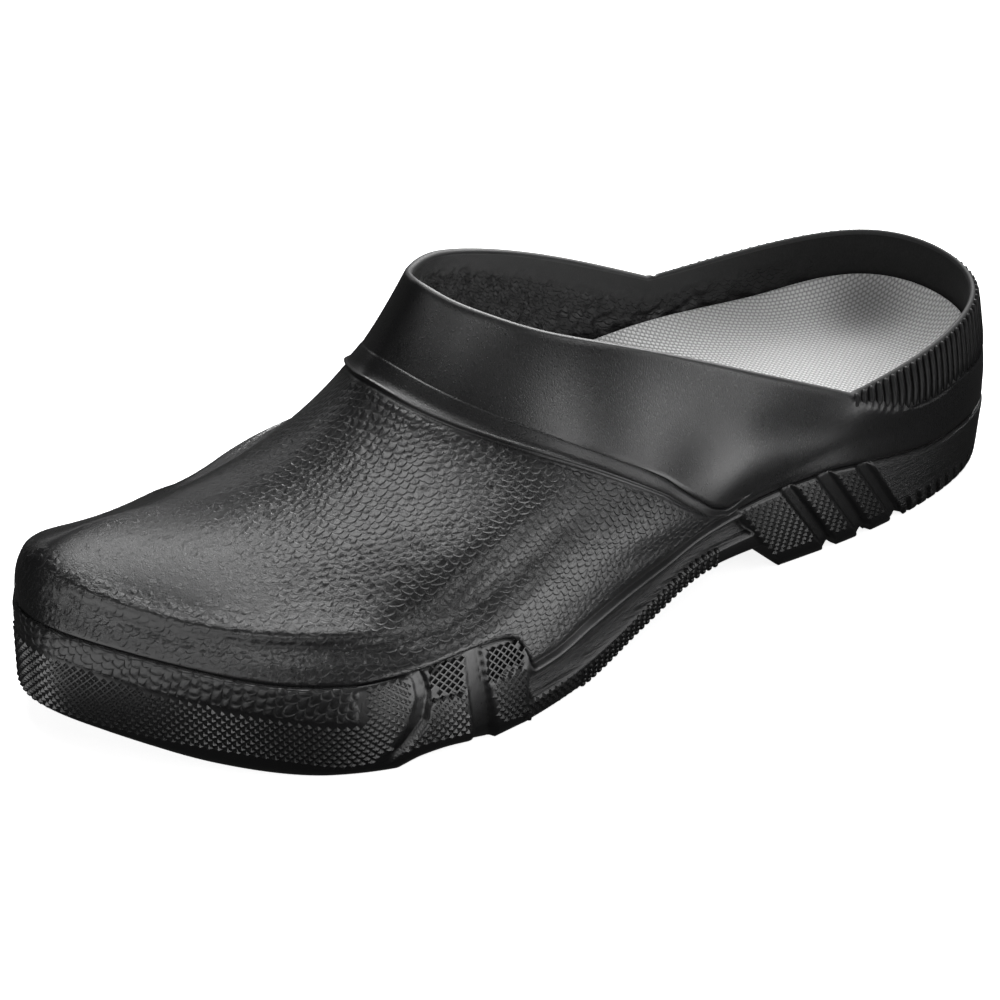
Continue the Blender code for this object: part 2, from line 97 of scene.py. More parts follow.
# Grooves under the tread: middle and width; the blind ones stop short of the edge.
THROUGH_GROOVES = [(74, 3.6), (62.5, 4.0), (49, 4.4)]
BLIND_GROOVES = [20, 34, 176, 188.5, 200.5, 213, 226.5, 240, 254]
TREAD_DEPTH, TREAD_NOTCH, TREAD_WIDTH, TREAD_RIM = 3.0, 1.4, 4.5, 8.0
TREAD_INSETS = (1.5, 4, 7.4, 8.6, 13, 20, 28)
LUG_PITCH, LUG_DEPTH, LUG_HEIGHT = 4.3, 1.3, 7.5
# High on the ball pads the wall is sunk between the bars of a net: from x, to x, above z, depth.
NET_FROM, NET_TO, NET_ABOVE, NET_SUNK = 188.6, 219, 19.5, 0.55
# Scales: step from row to row and bow of the free edge, as parts of their width; on the strip they are
# slanted ovals, with their lean, width and row measure.
SCALE_ROW, SCALE_ARC = 0.5, 0.6
STRIP_SLANT, STRIP_SCALE = math.radians(50), np.array([2.9, 5.0])
SIDE_STEP, SIDE_ROWS = 0.56, 46
# Fibrous skin: up to this lean at the heel, and in the waist between these places and shares of the height.
FIBRE_HEEL, FIBRE_WAIST, FIBRE_SHARE = 46, (91, 186), (0.38, 0.78)
FOAM_BLACK = (0.007, 0.007, 0.0074)
# Brushed grain of the foam: its lean, and its strokes to the metre each way.
BRUSH_LEAN, BRUSH_STROKES = math.radians(30), (3200, 3200, 1200)


def spline_through(knots, rows, at, period=None):
    """Smooth curve through the rows, closed when a period is given."""
    k, y = np.asarray(knots, float), np.asarray(rows, float)
    if period is not None:
        k, y = np.append(k, k[0] + period), np.vstack([y, y[:1]])
        at = (np.asarray(at, float) - k[0]) % period + k[0]
    n, h = len(k), np.diff(k)
    slope = np.diff(y, axis=0) / h[:, None]
    a, b = np.zeros((n, n)), np.zeros_like(y)
    for i in range(1, n - 1):
        a[i, i - 1:i + 2] = h[i - 1], 2 * (h[i - 1] + h[i]), h[i]
        b[i] = 6 * (slope[i] - slope[i - 1])
    if period is not None:
        a[0, 0], a[0, -1] = 1, -1
        a[-1, 0], a[-1, 1], a[-1, -2], a[-1, -1] = 2 * h[0], h[0], h[-1], 2 * h[-1]
        b[-1] = 6 * (slope[0] - slope[-1])
    else:
        a[0, 0] = a[-1, -1] = 1
    m = np.linalg.solve(a, b)
    at = np.asarray(at, float)
    i = np.clip(np.searchsorted(k, at, side="right") - 1, 0, n - 2)
    step, left, right = h[i][:, None], (k[i + 1] - at)[:, None], (at - k[i])[:, None]
    bend = (m[i] * left ** 3 + m[i + 1] * right ** 3) / (6 * step)
    return bend + (y[i] / step - m[i] * step / 6) * left + (y[i + 1] / step - m[i + 1] * step / 6) * right


def profile(table, x):
    """Height along the shoe through the table, without overshoot between its rows."""
    xk, zk = np.array(table, float).T
    x = np.clip(np.asarray(x, float), xk[0], xk[-1])
    h, d = np.diff(xk), np.diff(zk) / np.diff(xk)
    m = np.zeros(len(xk))
    for i in range(1, len(xk) - 1):
        if d[i - 1] * d[i] > 0:
            w1, w2 = 2 * h[i] + h[i - 1], h[i] + 2 * h[i - 1]
            m[i] = (w1 + w2) / (w1 / d[i - 1] + w2 / d[i])
    m[0], m[-1] = d[0], d[-1]
    i = np.clip(np.searchsorted(xk, x, side="right") - 1, 0, len(xk) - 2)
    t = (x - xk[i]) / h[i]
    return ((2 * t ** 3 - 3 * t ** 2 + 1) * zk[i] + (t ** 3 - 2 * t ** 2 + t) * h[i] * m[i]
            + (3 * t ** 2 - 2 * t ** 3) * zk[i + 1] + (t ** 3 - t ** 2) * h[i] * m[i + 1])


def ramp(x, low, high):
    t = np.clip((np.asarray(x, float) - low) / (high - low), 0, 1)
    return t * t * (3 - 2 * t)


def bump_at(x, middle, width):
    return np.exp(-((np.asarray(x, float) - middle) / width) ** 2)


def between(x, low, high, soft):
    """1 between the two edges, falling to 0 over a soft width at each."""
    return ramp(x, low - soft / 2, low + soft / 2) * (1 - ramp(x, high - soft / 2, high + soft / 2))


def unit(rows):
    return rows / np.linalg.norm(rows, axis=1)[:, None]


CHORD = np.linalg.norm(np.diff(np.vstack([FOOT, FOOT[:1]]), axis=0), axis=1)
KNOTS = np.append(0, np.cumsum(CHORD ** 0.75))
PERIOD, KNOTS = KNOTS[-1], KNOTS[:-1]


def outline(u):
    return spline_through(KNOTS, FOOT, u, PERIOD)


def inward(u):
    """Unit normal in plan, pointing into the shoe."""
    t = outline(u + 0.02) - outline(u - 0.02)
    return unit(np.stack([t[:, 1], -t[:, 0]], axis=1))


def paired_columns(step):
    """Places round the outline: heel to toe on the outer side at even steps, then back at the same x."""
    u = np.linspace(-PERIOD / 8, PERIOD * 7 / 8, 12001)
    xy = outline(u)
    heel, toe = np.argmin(xy[:, 0]), np.argmax(xy[:, 0])
    run = run_of(xy[heel:toe + 1])
    count = 4 * round(run[-1] / step / 4)
    outer = np.interp(np.linspace(0, run[-1], count + 1), run, u[heel:toe + 1])
    x = outline(outer[1:-1])[:, 0]
    u2, x2 = np.append(u[toe:], u[:heel + 1] + PERIOD), np.append(xy[toe:, 0], xy[:heel + 1, 0])
    inner = np.interp(x, x2[::-1], u2[::-1])
    return np.concatenate([outer, inner[::-1]])


def run_of(plan):
    """Length along a line at each of its points."""
    return np.append(0, np.cumsum(np.linalg.norm(np.diff(plan, axis=0), axis=1)))


def through_groove(x):
    return sum(between(x, at - width / 2, at + width / 2, 0.8) for at, width in THROUGH_GROOVES)


def tread_bottom(x):
    """Lower edge of the side wall, notched where a groove runs right through under the tread."""
    return profile(TREAD, x) + TREAD_NOTCH * through_groove(x)


def ball_gap(x, z):
    """Depth of the smooth gaps at the ball, deeper to the rear."""
    depth = np.zeros(np.broadcast(x, z).shape)
    for name, edges in BALL_GAPS:
        heights, rear, front = np.array(edges).T
        low, high = np.interp(z, heights, rear), np.interp(z, heights, front)
        across = np.clip((x - low) / (high - low), 0, 1)
        fade = ramp(z, 1.5, 7.0) if name == "crescent" else 1.0
        depth = depth + fade * between(x, low, high, 0.7) * (GAP_DEEP + (GAP_SHALLOW - GAP_DEEP) * across)
    return depth


def side_out(x, z, run):
    """How far the side wall stands out from the foot outline at a place on it."""
    low, high = tread_bottom(x), profile(FEATHER, x)
    share = np.clip((z - low) / (high - low), 0, 1)
    lean = x - PAD_LEAN * z
    top_round = 0.4 * ramp(z, high - 1.0, high) ** 2

    foot, strip = profile(KNURL_FOOT, x), profile(STRIP_FOOT, x)
    rise = np.clip((z - low) / np.maximum(foot - low, 0.5), 0, 1)
    edge = BEVEL_OUT - profile(EDGE_IN, x)
    fore = edge + (PAD_OUT - 0.35 - edge) * np.sin(rise * math.pi / 2) ** 0.85
    fore = fore + 0.35 * ramp(z, foot - 0.25, foot + 0.3)
    on_strip = ramp(x, STRIP_END - 0.5, STRIP_END + 0.5) * ramp(z, strip - 0.35, strip + 0.35)
    net = between(x, NET_FROM + 0.5, NET_TO, 1.0) * ramp(z, NET_ABOVE - 1.4, NET_ABOVE - 0.6)
    fore = fore + on_strip * (STRIP_OUT - PAD_OUT) - np.maximum(ball_gap(x, z), NET_SUNK * net)

    waist = profile(WAIST_WALL, share)

    rise = np.clip((z - low) / np.maximum(HEEL_PAD_FOOT - low, 0.5), 0, 1)
    pads = -2.6 + 2.95 * np.sin(rise * math.pi / 2) ** 0.85
    pads = pads + (PAD_OUT - 0.35) * ramp(z, HEEL_PAD_FOOT - 0.3, HEEL_PAD_FOOT + 0.3)
    for rear, front in HEEL_GAPS:
        across = np.clip((lean - rear) / (front - rear), 0, 1)
        pads = pads - between(lean, rear, front, 0.7) * (GAP_DEEP + (GAP_SHALLOW - GAP_DEEP) * across)

    lugs = np.clip(np.sin(2 * math.pi * (run - 0.35 * z) / LUG_PITCH) * 2.2 - 0.9, 0, 1)
    back = profile(BACK_WALL, share) - LUG_DEPTH * lugs * (1 - ramp(z, LUG_HEIGHT * 0.4, LUG_HEIGHT))

    in_fore = ramp(x, FORE_START, FORE_FULL)
    in_heel = 1 - ramp(lean, PAD_FRONT - 0.5, PAD_FRONT + 0.6)
    in_back = 1 - ramp(lean, HEEL_GAPS[-1][0] - 0.6, HEEL_GAPS[-1][0] + 0.3)
    heel = in_back * back + (1 - in_back) * pads
    behind = in_heel * (heel - top_round) + (1 - in_heel) * waist
    return in_fore * (fore - top_round) + (1 - in_fore) * behind


def tread_face(plan, inset):
    """Height of the tread face, with its cross grooves; inset is the distance from the edge."""
    x = plan[:, 0]
    depth = sum(between(x, at - TREAD_WIDTH / 2, at + TREAD_WIDTH / 2, 0.8) for at in BLIND_GROOVES)
    blind = TREAD_DEPTH * depth * ramp(inset, TREAD_RIM - 0.5, TREAD_RIM + 0.5)
    return tread_bottom(x) + blind + (TREAD_DEPTH - TREAD_NOTCH) * through_groove(x) * ramp(inset, 0.5, 4.5)


def ring_faces(rows, count, start=0):
    """Quads between rows of closed rings; vertex number is start + row * count + column."""
    r, c = np.meshgrid(np.arange(rows - 1), np.arange(count), indexing="ij")
    a, b, d = start + r * count, start + (r + 1) * count, (c + 1) % count
    return np.stack([a + c, a + d, b + d, b + c], axis=-1).reshape(-1, 4).tolist()


def cross_strips(ring, across, height, start, ring_start):
    """Strips that close a ring from its outer to its inner side, with points at the given insets between."""
    count = len(ring)
    half = count // 2
    left, right = np.arange(1, half), count - np.arange(1, half)
    width = np.linalg.norm(ring[right] - ring[left], axis=1)
    fit = np.minimum(1, width / (2.3 * across[-1]))
    outer, inner = [d * fit for d in across], [width - d * fit for d in across[::-1]]
    inset = np.stack(outer + [width / 2] + inner, axis=1)
    plan = ring[left][:, None] + (ring[right] - ring[left])[:, None] * (inset / width[:, None])[:, :, None]
    near = np.minimum(inset, width[:, None] - inset)
    z = height(plan.reshape(-1, 2), near.ravel())
    points = np.column_stack([plan.reshape(-1, 2), z])
    ids = start + np.arange(len(points)).reshape(plan.shape[:2])
    lines = np.hstack([ring_start + left[:, None], ids, ring_start + right[:, None]])
    faces = np.stack([lines[:-1, :-1], lines[:-1, 1:], lines[1:, 1:], lines[1:, :-1]], axis=-1).reshape(-1, 4)
    tips = [(tip, a, b) for tip, line in ((ring_start, lines[0]), (ring_start + half, lines[-1]))
            for a, b in zip(line[:-1], line[1:])]
    return points, faces.tolist() + tips


def make_piece(name, points, faces, material, attributes=()):
    """A smooth mesh object in metres in the shared frame, with its faces turned outwards."""
    mesh = bpy.data.meshes.new(name)
    place = (np.asarray(points) - FRAME_ORIGIN) * MM
    mesh.from_pydata(place.tolist(), [], faces)
    turn_outwards(mesh)
    for label, kind, values in attributes:
        layer = mesh.attributes.new(label, kind, "POINT")
        field = "vector" if kind == "FLOAT_VECTOR" else "value"
        exact = np.int32 if kind == "INT" else np.float32
        layer.data.foreach_set(field, np.asarray(values, exact).ravel())
    mesh.shade_smooth()
    if material is not None:
        mesh.materials.append(material)
    piece = bpy.data.objects.new(name, mesh)
    bpy.context.scene.collection.objects.link(piece)
    return piece


def turn_outwards(mesh):
    """Makes the faces agree, and point out of the closed shape."""
    work = bmesh.new()
    work.from_mesh(mesh)
    bmesh.ops.recalc_face_normals(work, faces=work.faces)
    if work.calc_volume(signed=True) < 0:
        bmesh.ops.reverse_faces(work, faces=work.faces)
    work.to_mesh(mesh)
    work.free()


def add_node(tree, kind, settings=(), **links):
    """A node with its settings; each link names an input and gives a socket or a value."""
    node = tree.nodes.new(kind)
    for key, value in dict(settings).items():
        setattr(node, key, value)
    for label, value in links.items():
        socket = node.inputs[int(label[1:])] if label[1:].isdigit() else node.inputs[label.replace("_", " ")]
        if isinstance(value, bpy.types.NodeSocket):
            tree.links.new(value, socket)
        else:
            socket.default_value = value
    return node


def maths(tree, operation, a, b=0.0, c=0.0):
    return add_node(tree, "ShaderNodeMath", {"operation": operation}, i0=a, i1=b, i2=c).outputs[0]


def vectors(tree, operation, a, b, c=(0.0, 0.0, 0.0)):
    return add_node(tree, "ShaderNodeVectorMath", {"operation": operation}, i0=a, i1=b, i2=c).outputs[0]


def scaled(tree, vector, factor):
    return add_node(tree, "ShaderNodeVectorMath", {"operation": "SCALE"}, i0=vector, Scale=factor).outputs[0]


def fade(tree, value, low, high, start, end):
    """Passes smoothly from the start to the end while the value goes from low to high."""
    return add_node(tree, "ShaderNodeMapRange", {"interpolation_type": "SMOOTHSTEP"}, Value=value,
                    i1=low, i2=high, i3=start, i4=end).outputs[0]


def noise(tree, place, scale, detail, roughness=0.5):
    return add_node(tree, "ShaderNodeTexNoise", Vector=place, Scale=scale, Detail=detail,
                    Roughness=roughness).outputs[0]


def embossed_scales(tree, place):
    """Overlapping scales in staggered rows: crease under each free edge, rise towards it, low dome across."""
    bent = place
    for size, strength in ((0.4, 0.8), (0.9, 0.25)):
        waver = add_node(tree, "ShaderNodeTexNoise", {"noise_dimensions": "2D"}, Vector=place,
                         Scale=size, Detail=1.0)
        centred = vectors(tree, "SUBTRACT", waver.outputs["Color"], (0.5, 0.5, 0.5))
        bent = vectors(tree, "MULTIPLY_ADD", centred, (strength, strength, 0.0), bent)
    split = add_node(tree, "ShaderNodeSeparateXYZ", i0=bent)
    past, aside = [], []
    for turn in (0, 1):
        across = maths(tree, "FRACT", maths(tree, "ADD", split.outputs[0], 0.5 * turn))
        across = maths(tree, "SUBTRACT", across, 0.5)
        aside.append(maths(tree, "MULTIPLY", across, across))
        arc = maths(tree, "SQRT", maths(tree, "SUBTRACT", SCALE_ARC ** 2, aside[turn]))
        edge = maths(tree, "ADD", arc, turn * SCALE_ROW)
        beyond = maths(tree, "SUBTRACT", split.outputs[1], edge)
        past.append(maths(tree, "FLOORED_MODULO", beyond, 2 * SCALE_ROW))
    down = maths(tree, "MINIMUM", *past)
    ahead = maths(tree, "SUBTRACT", 2 * SCALE_ROW, maths(tree, "MAXIMUM", *past))
    rise = maths(tree, "DIVIDE", down, maths(tree, "ADD", down, ahead))
    first = maths(tree, "GREATER_THAN", *past)
    own = maths(tree, "MULTIPLY_ADD", first, maths(tree, "SUBTRACT", *aside), aside[1])
    under = fade(tree, down, 0.0, 0.16, 1.0, 0.0)
    seam = fade(tree, own, 0.17, 0.25, 0.0, 0.15)
    return maths(tree, "MAXIMUM", under, seam), rise, maths(tree, "MULTIPLY_ADD", own, -1.2, 0.15)


def new_tree(name, sizes):
    """A Geometry Nodes tree with a geometry in and out and named sizes."""
    tree = bpy.data.node_groups.new(name, "GeometryNodeTree")
    tree.is_modifier = True
    tree.interface.new_socket("Geometry", in_out="INPUT", socket_type="NodeSocketGeometry")
    for label, kind in sizes:
        tree.interface.new_socket(label, in_out="INPUT", socket_type=kind)
    tree.interface.new_socket("Geometry", in_out="OUTPUT", socket_type="NodeSocketGeometry")
    return tree, tree.nodes.new("NodeGroupInput").outputs, tree.nodes.new("NodeGroupOutput").inputs


def named(tree, label, kind="FLOAT"):
    return add_node(tree, "GeometryNodeInputNamedAttribute", {"data_type": kind}, Name=label).outputs[0]


def apply_tree(piece, tree, values):
    """Runs a tree on a piece with the given sizes, and keeps its result as the piece's plain mesh."""
    modifier = piece.modifiers.new(tree.name, "NODES")
    modifier.node_group = tree
    for item in tree.interface.items_tree:
        if item.in_out == "INPUT" and item.name in values:
            modifier[item.identifier] = values[item.name]
    state = bpy.context.evaluated_depsgraph_get()
    worked = piece.evaluated_get(state)
    mesh = bpy.data.meshes.new_from_object(worked, preserve_all_data_layers=True, depsgraph=state)
    piece.modifiers.remove(modifier)
    old, piece.data = piece.data, mesh
    bpy.data.meshes.remove(old)
    mesh.name = piece.name
    mesh.shade_smooth()
    return piece


def scale_relief_tree():
    """Raises scales on a skin, each domed and rising to its free edge, and lumps where they are marked."""
    sizes = [(label, "NodeSocketFloat") for label in ("Depth", "Lump Size", "Lump Depth")]
    tree, given, result = new_tree("scale relief", sizes)
    rise, dome = embossed_scales(tree, named(tree, "scale_place", "FLOAT_VECTOR"))[1:]
    scale = maths(tree, "MULTIPLY_ADD", rise, 0.5, dome)
    marked = maths(tree, "MULTIPLY", scale, named(tree, "scale_amount"))
    height = maths(tree, "MULTIPLY", marked, given["Depth"])
    spread = scaled(tree, named(tree, "position", "FLOAT_VECTOR"),
                    maths(tree, "DIVIDE", 1.0, given["Lump Size"]))
    apart = add_node(tree, "ShaderNodeTexVoronoi", {"feature": "SMOOTH_F1"}, Vector=spread, Scale=1.0,
                     Smoothness=0.2, Randomness=0.9).outputs["Distance"]
    lumps = maths(tree, "MULTIPLY", maths(tree, "SUBTRACT", 0.45, apart), named(tree, "lump_amount"))
    height = maths(tree, "MULTIPLY_ADD", lumps, given["Lump Depth"], height)
    normal = tree.nodes.new("GeometryNodeInputNormal").outputs[0]
    moved = add_node(tree, "GeometryNodeSetPosition", Geometry=given["Geometry"],
                     Offset=scaled(tree, normal, height))
    tree.links.new(moved.outputs[0], result[0])
    return tree


def moulded_finish(name, colour, roughness, crease, grain, fibre, shine=0.85):
    """Satin black foam with a fine grain; scales, fibres and dull parts lie where they are marked."""
    material = bpy.data.materials.new(name)
    material.use_nodes = True
    tree = material.node_tree
    shader = tree.nodes["Principled BSDF"]
    body = add_node(tree, "ShaderNodeTexCoord").outputs["Object"]

    def attribute(label, output):
        return add_node(tree, "ShaderNodeAttribute", {"attribute_name": label}).outputs[output]

    under, climb, dome = embossed_scales(tree, attribute("scale_place", "Vector"))
    amount = attribute("scale_amount", "Fac")
    patchy = add_node(tree, "ShaderNodeTexNoise", {"noise_dimensions": "2D"},
                      Vector=attribute("scale_place", "Vector"), Scale=1.4, Detail=1.0).outputs[0]
    whole = maths(tree, "MULTIPLY_ADD", amount, 0.55, maths(tree, "SUBTRACT", patchy, 0.72))
    whole = add_node(tree, "ShaderNodeClamp", i0=maths(tree, "MULTIPLY", whole, 3.5)).outputs[0]
    whole = maths(tree, "MULTIPLY", whole, maths(tree, "POWER", amount, 0.8))
    scale = maths(tree, "MULTIPLY_ADD", climb, 0.65, dome)
    pressed = maths(tree, "MULTIPLY", maths(tree, "MULTIPLY_ADD", under, -0.85, scale), whole)
    brushed = add_node(tree, "ShaderNodeMapping", Vector=body, Rotation=(0, BRUSH_LEAN, 0),
                       Scale=BRUSH_STROKES).outputs[0]
    fine = noise(tree, brushed, 1.0, 3.0, 0.65)
    pores = add_node(tree, "ShaderNodeTexVoronoi", {"feature": "F1"}, Vector=body, Scale=900.0)
    pits = add_node(tree, "ShaderNodeMapRange", Value=pores.outputs["Distance"],
                    i1=0.08, i2=0.3, i3=-1.0, i4=0.0).outputs[0]
    along = add_node(tree, "ShaderNodeMapping", Vector=attribute("wall_place", "Vector"),
                     Scale=(0.06, 1.7, 1.0)).outputs[0]
    drawn = maths(tree, "MULTIPLY", noise(tree, along, 1.0, 4.0, 0.65), attribute("fibre", "Fac"))
    height = maths(tree, "MULTIPLY", pressed, crease * MM)
    height = maths(tree, "MULTIPLY_ADD", fine, grain * MM, height)
    height = maths(tree, "MULTIPLY_ADD", pits, 0.4 * grain * MM, height)
    height = maths(tree, "MULTIPLY_ADD", drawn, fibre * MM, height)
    bump = add_node(tree, "ShaderNodeBump", Strength=1.0, Distance=1.0, Height=height)
    tree.links.new(bump.outputs[0], shader.inputs["Normal"])

    cloud = noise(tree, body, 38.0, 4.0, 0.6)
    # Base colour: painted shade in the creases under the scale edges and a lighter rise on the scales, over a
    # random cloudy tone.
    crease_shade_and_tone = maths(tree, "MULTIPLY_ADD", pressed, 0.3, maths(tree, "MULTIPLY_ADD", cloud, 0.5, 0.75))
    tree.links.new(scaled(tree, colour, crease_shade_and_tone), shader.inputs["Base Color"])
    rough = maths(tree, "MULTIPLY_ADD", cloud, 0.14, roughness - 0.2)
    rough = maths(tree, "MULTIPLY_ADD", fine, 0.26, rough)
    rough = maths(tree, "MULTIPLY_ADD", maths(tree, "MULTIPLY", under, whole), 0.55, rough)
    rough = maths(tree, "MULTIPLY_ADD", attribute("dull", "Fac"), 0.45, rough)
    tree.links.new(rough, shader.inputs["Roughness"])
    shader.inputs["Specular IOR Level"].default_value = shine
    return material


def build_sole(material):
    """The side wall as one fine sheet, closed below by the tread and above by the recess for the insole."""
    u = paired_columns(SIDE_STEP)
    plan, normal = outline(u), inward(u)
    x, run = plan[:, 0], run_of(plan)
    low, high = tread_bottom(x), profile(FEATHER, x)
    share = np.linspace(0, 1, SIDE_ROWS) ** 1.05
    rings, places, scaly, fibrous = [], [], [], []
    for s in share:
        z = low + s * (high - low)
        out = side_out(x, z, run)
        rings.append(np.column_stack([plan - normal * out[:, None], z]))
        places.append(np.column_stack([run, z, np.zeros(len(x))]))
        strip = profile(STRIP_FOOT, x)
        scaly.append(ramp(x, STRIP_END + 0.3, STRIP_END + 2) * ramp(z, strip + 0.3, strip + 1.2))
        lean = x - PAD_LEAN * z
        heel_back = 1 - ramp(lean, FIBRE_HEEL, FIBRE_HEEL + 1)
        start, end = FIBRE_WAIST
        hollow = ramp(lean, start, start + 2) * (1 - ramp(x, end, end + 2)) * between(s, *FIBRE_SHARE, 0.06)
        fibrous.append(np.maximum(heel_back, hollow))
    count = len(x)
    seat = plan + normal * SEAT_WALL
    rings += [np.column_stack([seat, high]), np.column_stack([seat, profile(SEAT, x)])]
    points = np.vstack(rings)
    faces = ring_faces(len(rings), count)
    under, under_faces = cross_strips(rings[0][:, :2], TREAD_INSETS, tread_face, len(points), 0)
    points = np.vstack([points, under])
    over, over_faces = cross_strips(seat, (20,), lambda p, inset: profile(SEAT, p[:, 0]), len(points),
                                    (len(rings) - 1) * count)
    points = np.vstack([points, over])

    def on_all(values, width):
        """Values for the side wall, with zeros for the rest of the sole."""
        full = np.zeros((len(points), width))
        values = np.asarray(values).reshape(-1, width)
        full[:len(values)] = values
        return full

    cos, sin = math.cos(STRIP_SLANT), math.sin(STRIP_SLANT)
    cells = np.vstack(places) @ np.array([[sin, cos, 0], [cos, -sin, 0], [0, 0, 0]])
    cells[:, :2] /= STRIP_SCALE
    attributes = [("scale_place", "FLOAT_VECTOR", on_all(cells, 3)),
                  ("scale_amount", "FLOAT", on_all(scaly, 1)),
                  ("wall_place", "FLOAT_VECTOR", on_all(places, 3)),
                  ("fibre", "FLOAT", on_all(fibrous, 1))]
    return make_piece("sole_unit", points, faces + under_faces + over_faces, material, attributes)


scale_relief = scale_relief_tree()
sole_finish = moulded_finish("sole_foam", FOAM_BLACK, 0.33, crease=0.2, grain=0.03, fibre=0.5)
sole = build_sole(sole_finish)
apply_tree(sole, scale_relief, {"Depth": 0.4 * MM, "Lump Size": 5 * MM, "Lump Depth": 0.0})
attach(sole, "root")
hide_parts("outsole")


# Knurling of the sole. The pads are moulded with small four-sided studs on a diamond grid; high on the ball
# pads it turns into an open net, and along the waist rows of beads stand close together as cross ridges.
STUD_PITCH, STUD_ROW, STUD_HEIGHT, STUD_SUNK = 2.27, 1.14, 0.7, 0.12
BAR_WIDTH, BAR_HEIGHT = 0.34, 1.1
RIDGE_START, RIDGE_WIDTH, RIDGE_LENGTH, RIDGE_HEIGHT = 168, 1.5, 1.9, 0.6
RIDGE_BEADS = (0.9, 2.35, 3.8, 5.25)
WAIST_STRIP, WAIST_STRIP_END = 0.34, 113
rng = np.random.default_rng(7)


def on_pad(x, z, lean):
    """Whether a stud belongs at this place of the side wall."""
    low, high = tread_bottom(x), profile(FEATHER, x)
    foot = profile(KNURL_FOOT, x) + 0.7
    clear_gap = np.maximum(ball_gap(x - 0.7, z), ball_gap(x + 0.7, z)) < 0.05
    toe = (x > STRIP_END - 0.9) & (z > foot) & (z < profile(STRIP_FOOT, x) - 0.4)
    ball = (x > FORE_FULL + 0.3) & (x < STRIP_END - 0.9) & (z > foot) & (z < high - 0.7) & clear_gap
    share = (z - low) / (high - low)
    waist = (x > WAIST_STRIP_END) & (x <= FORE_FULL + 0.3) & (share > 0.1) & (share < WAIST_STRIP)
    pads = (lean < PAD_FRONT - 0.7) & (lean > HEEL_GAPS[-1][1] + 0.6)
    pads = pads & (z > HEEL_PAD_FOOT + 0.6) & (z < high - 1.2)
    for rear, front in HEEL_GAPS:
        pads = pads & ((lean < rear - 0.7) | (lean > front + 0.7))
    return toe | ball | waist | pads


def x_at(place):
    """How far along the shoe one place of the outline lies."""
    return float(outline(np.array([place]))[0, 0])


def stud_points():
    """Grid places on the pads with the wall's direction there, the size of each stud and its kind."""
    u = np.linspace(0, PERIOD, 4001)[:-1]
    plan = outline(u)
    run = run_of(plan)
    total = run[-1] + np.linalg.norm(plan[0] - plan[-1])
    outer_end = run[np.argmax(plan[:, 0])]
    columns = int(total / (STUD_PITCH / 2))
    rows = []
    for j in range(int(34 / STUD_ROW)):
        for i in range(j % 2, columns, 2):
            s = i * total / columns
            way = 1 if s < outer_end else -1
            at = np.interp(s, run, u)
            x = x_at(at)
            foot = float(profile(KNURL_FOOT, x)) if x > FORE_FULL else float(tread_bottom(x)) * (x > 91)
            z = foot + 0.9 + j * STUD_ROW
            if x < 112:
                s = s + way * PAD_LEAN * z
                at = np.interp(s % total, run, u)
                x = x_at(at)
            if not on_pad(x, z, x - PAD_LEAN * z):
                continue
            net = NET_FROM < x < NET_TO and z > NET_ABOVE
            if (net and j % 2) or WAIST_STRIP_END < x < RIDGE_START:
                continue
            rows.append((at, z, 1 if net else 0))
    for i in range(0, columns, 2):
        at = np.interp(i * total / columns, run, u)
        x = x_at(at)
        if WAIST_STRIP_END < x < RIDGE_START:
            rows += [(at, float(tread_bottom(x)) + bead, 2) for bead in RIDGE_BEADS]
    at, z, kind = np.array(rows).T
    plan, normal = outline(at), inward(at)
    x = plan[:, 0]
    run_at = np.interp(at, u, run)
    out = side_out(x, z, run_at)
    lower = side_out(x, z - 0.5, run_at)
    upper = side_out(x, z + 0.5, run_at)
    facing = unit(np.column_stack([-normal, -(upper - lower)]))
    along = np.column_stack([-normal[:, 1], normal[:, 0], np.zeros(len(x))])
    points = np.column_stack([plan - normal * out[:, None], z])
    size = rng.uniform(0.96, 1.04, (len(x), 1)) * np.ones((1, 3))
    kept = (np.abs(upper - lower) < 0.9) | (kind == 2)
    return points[kept], facing[kept], along[kept], size[kept], kind[kept]


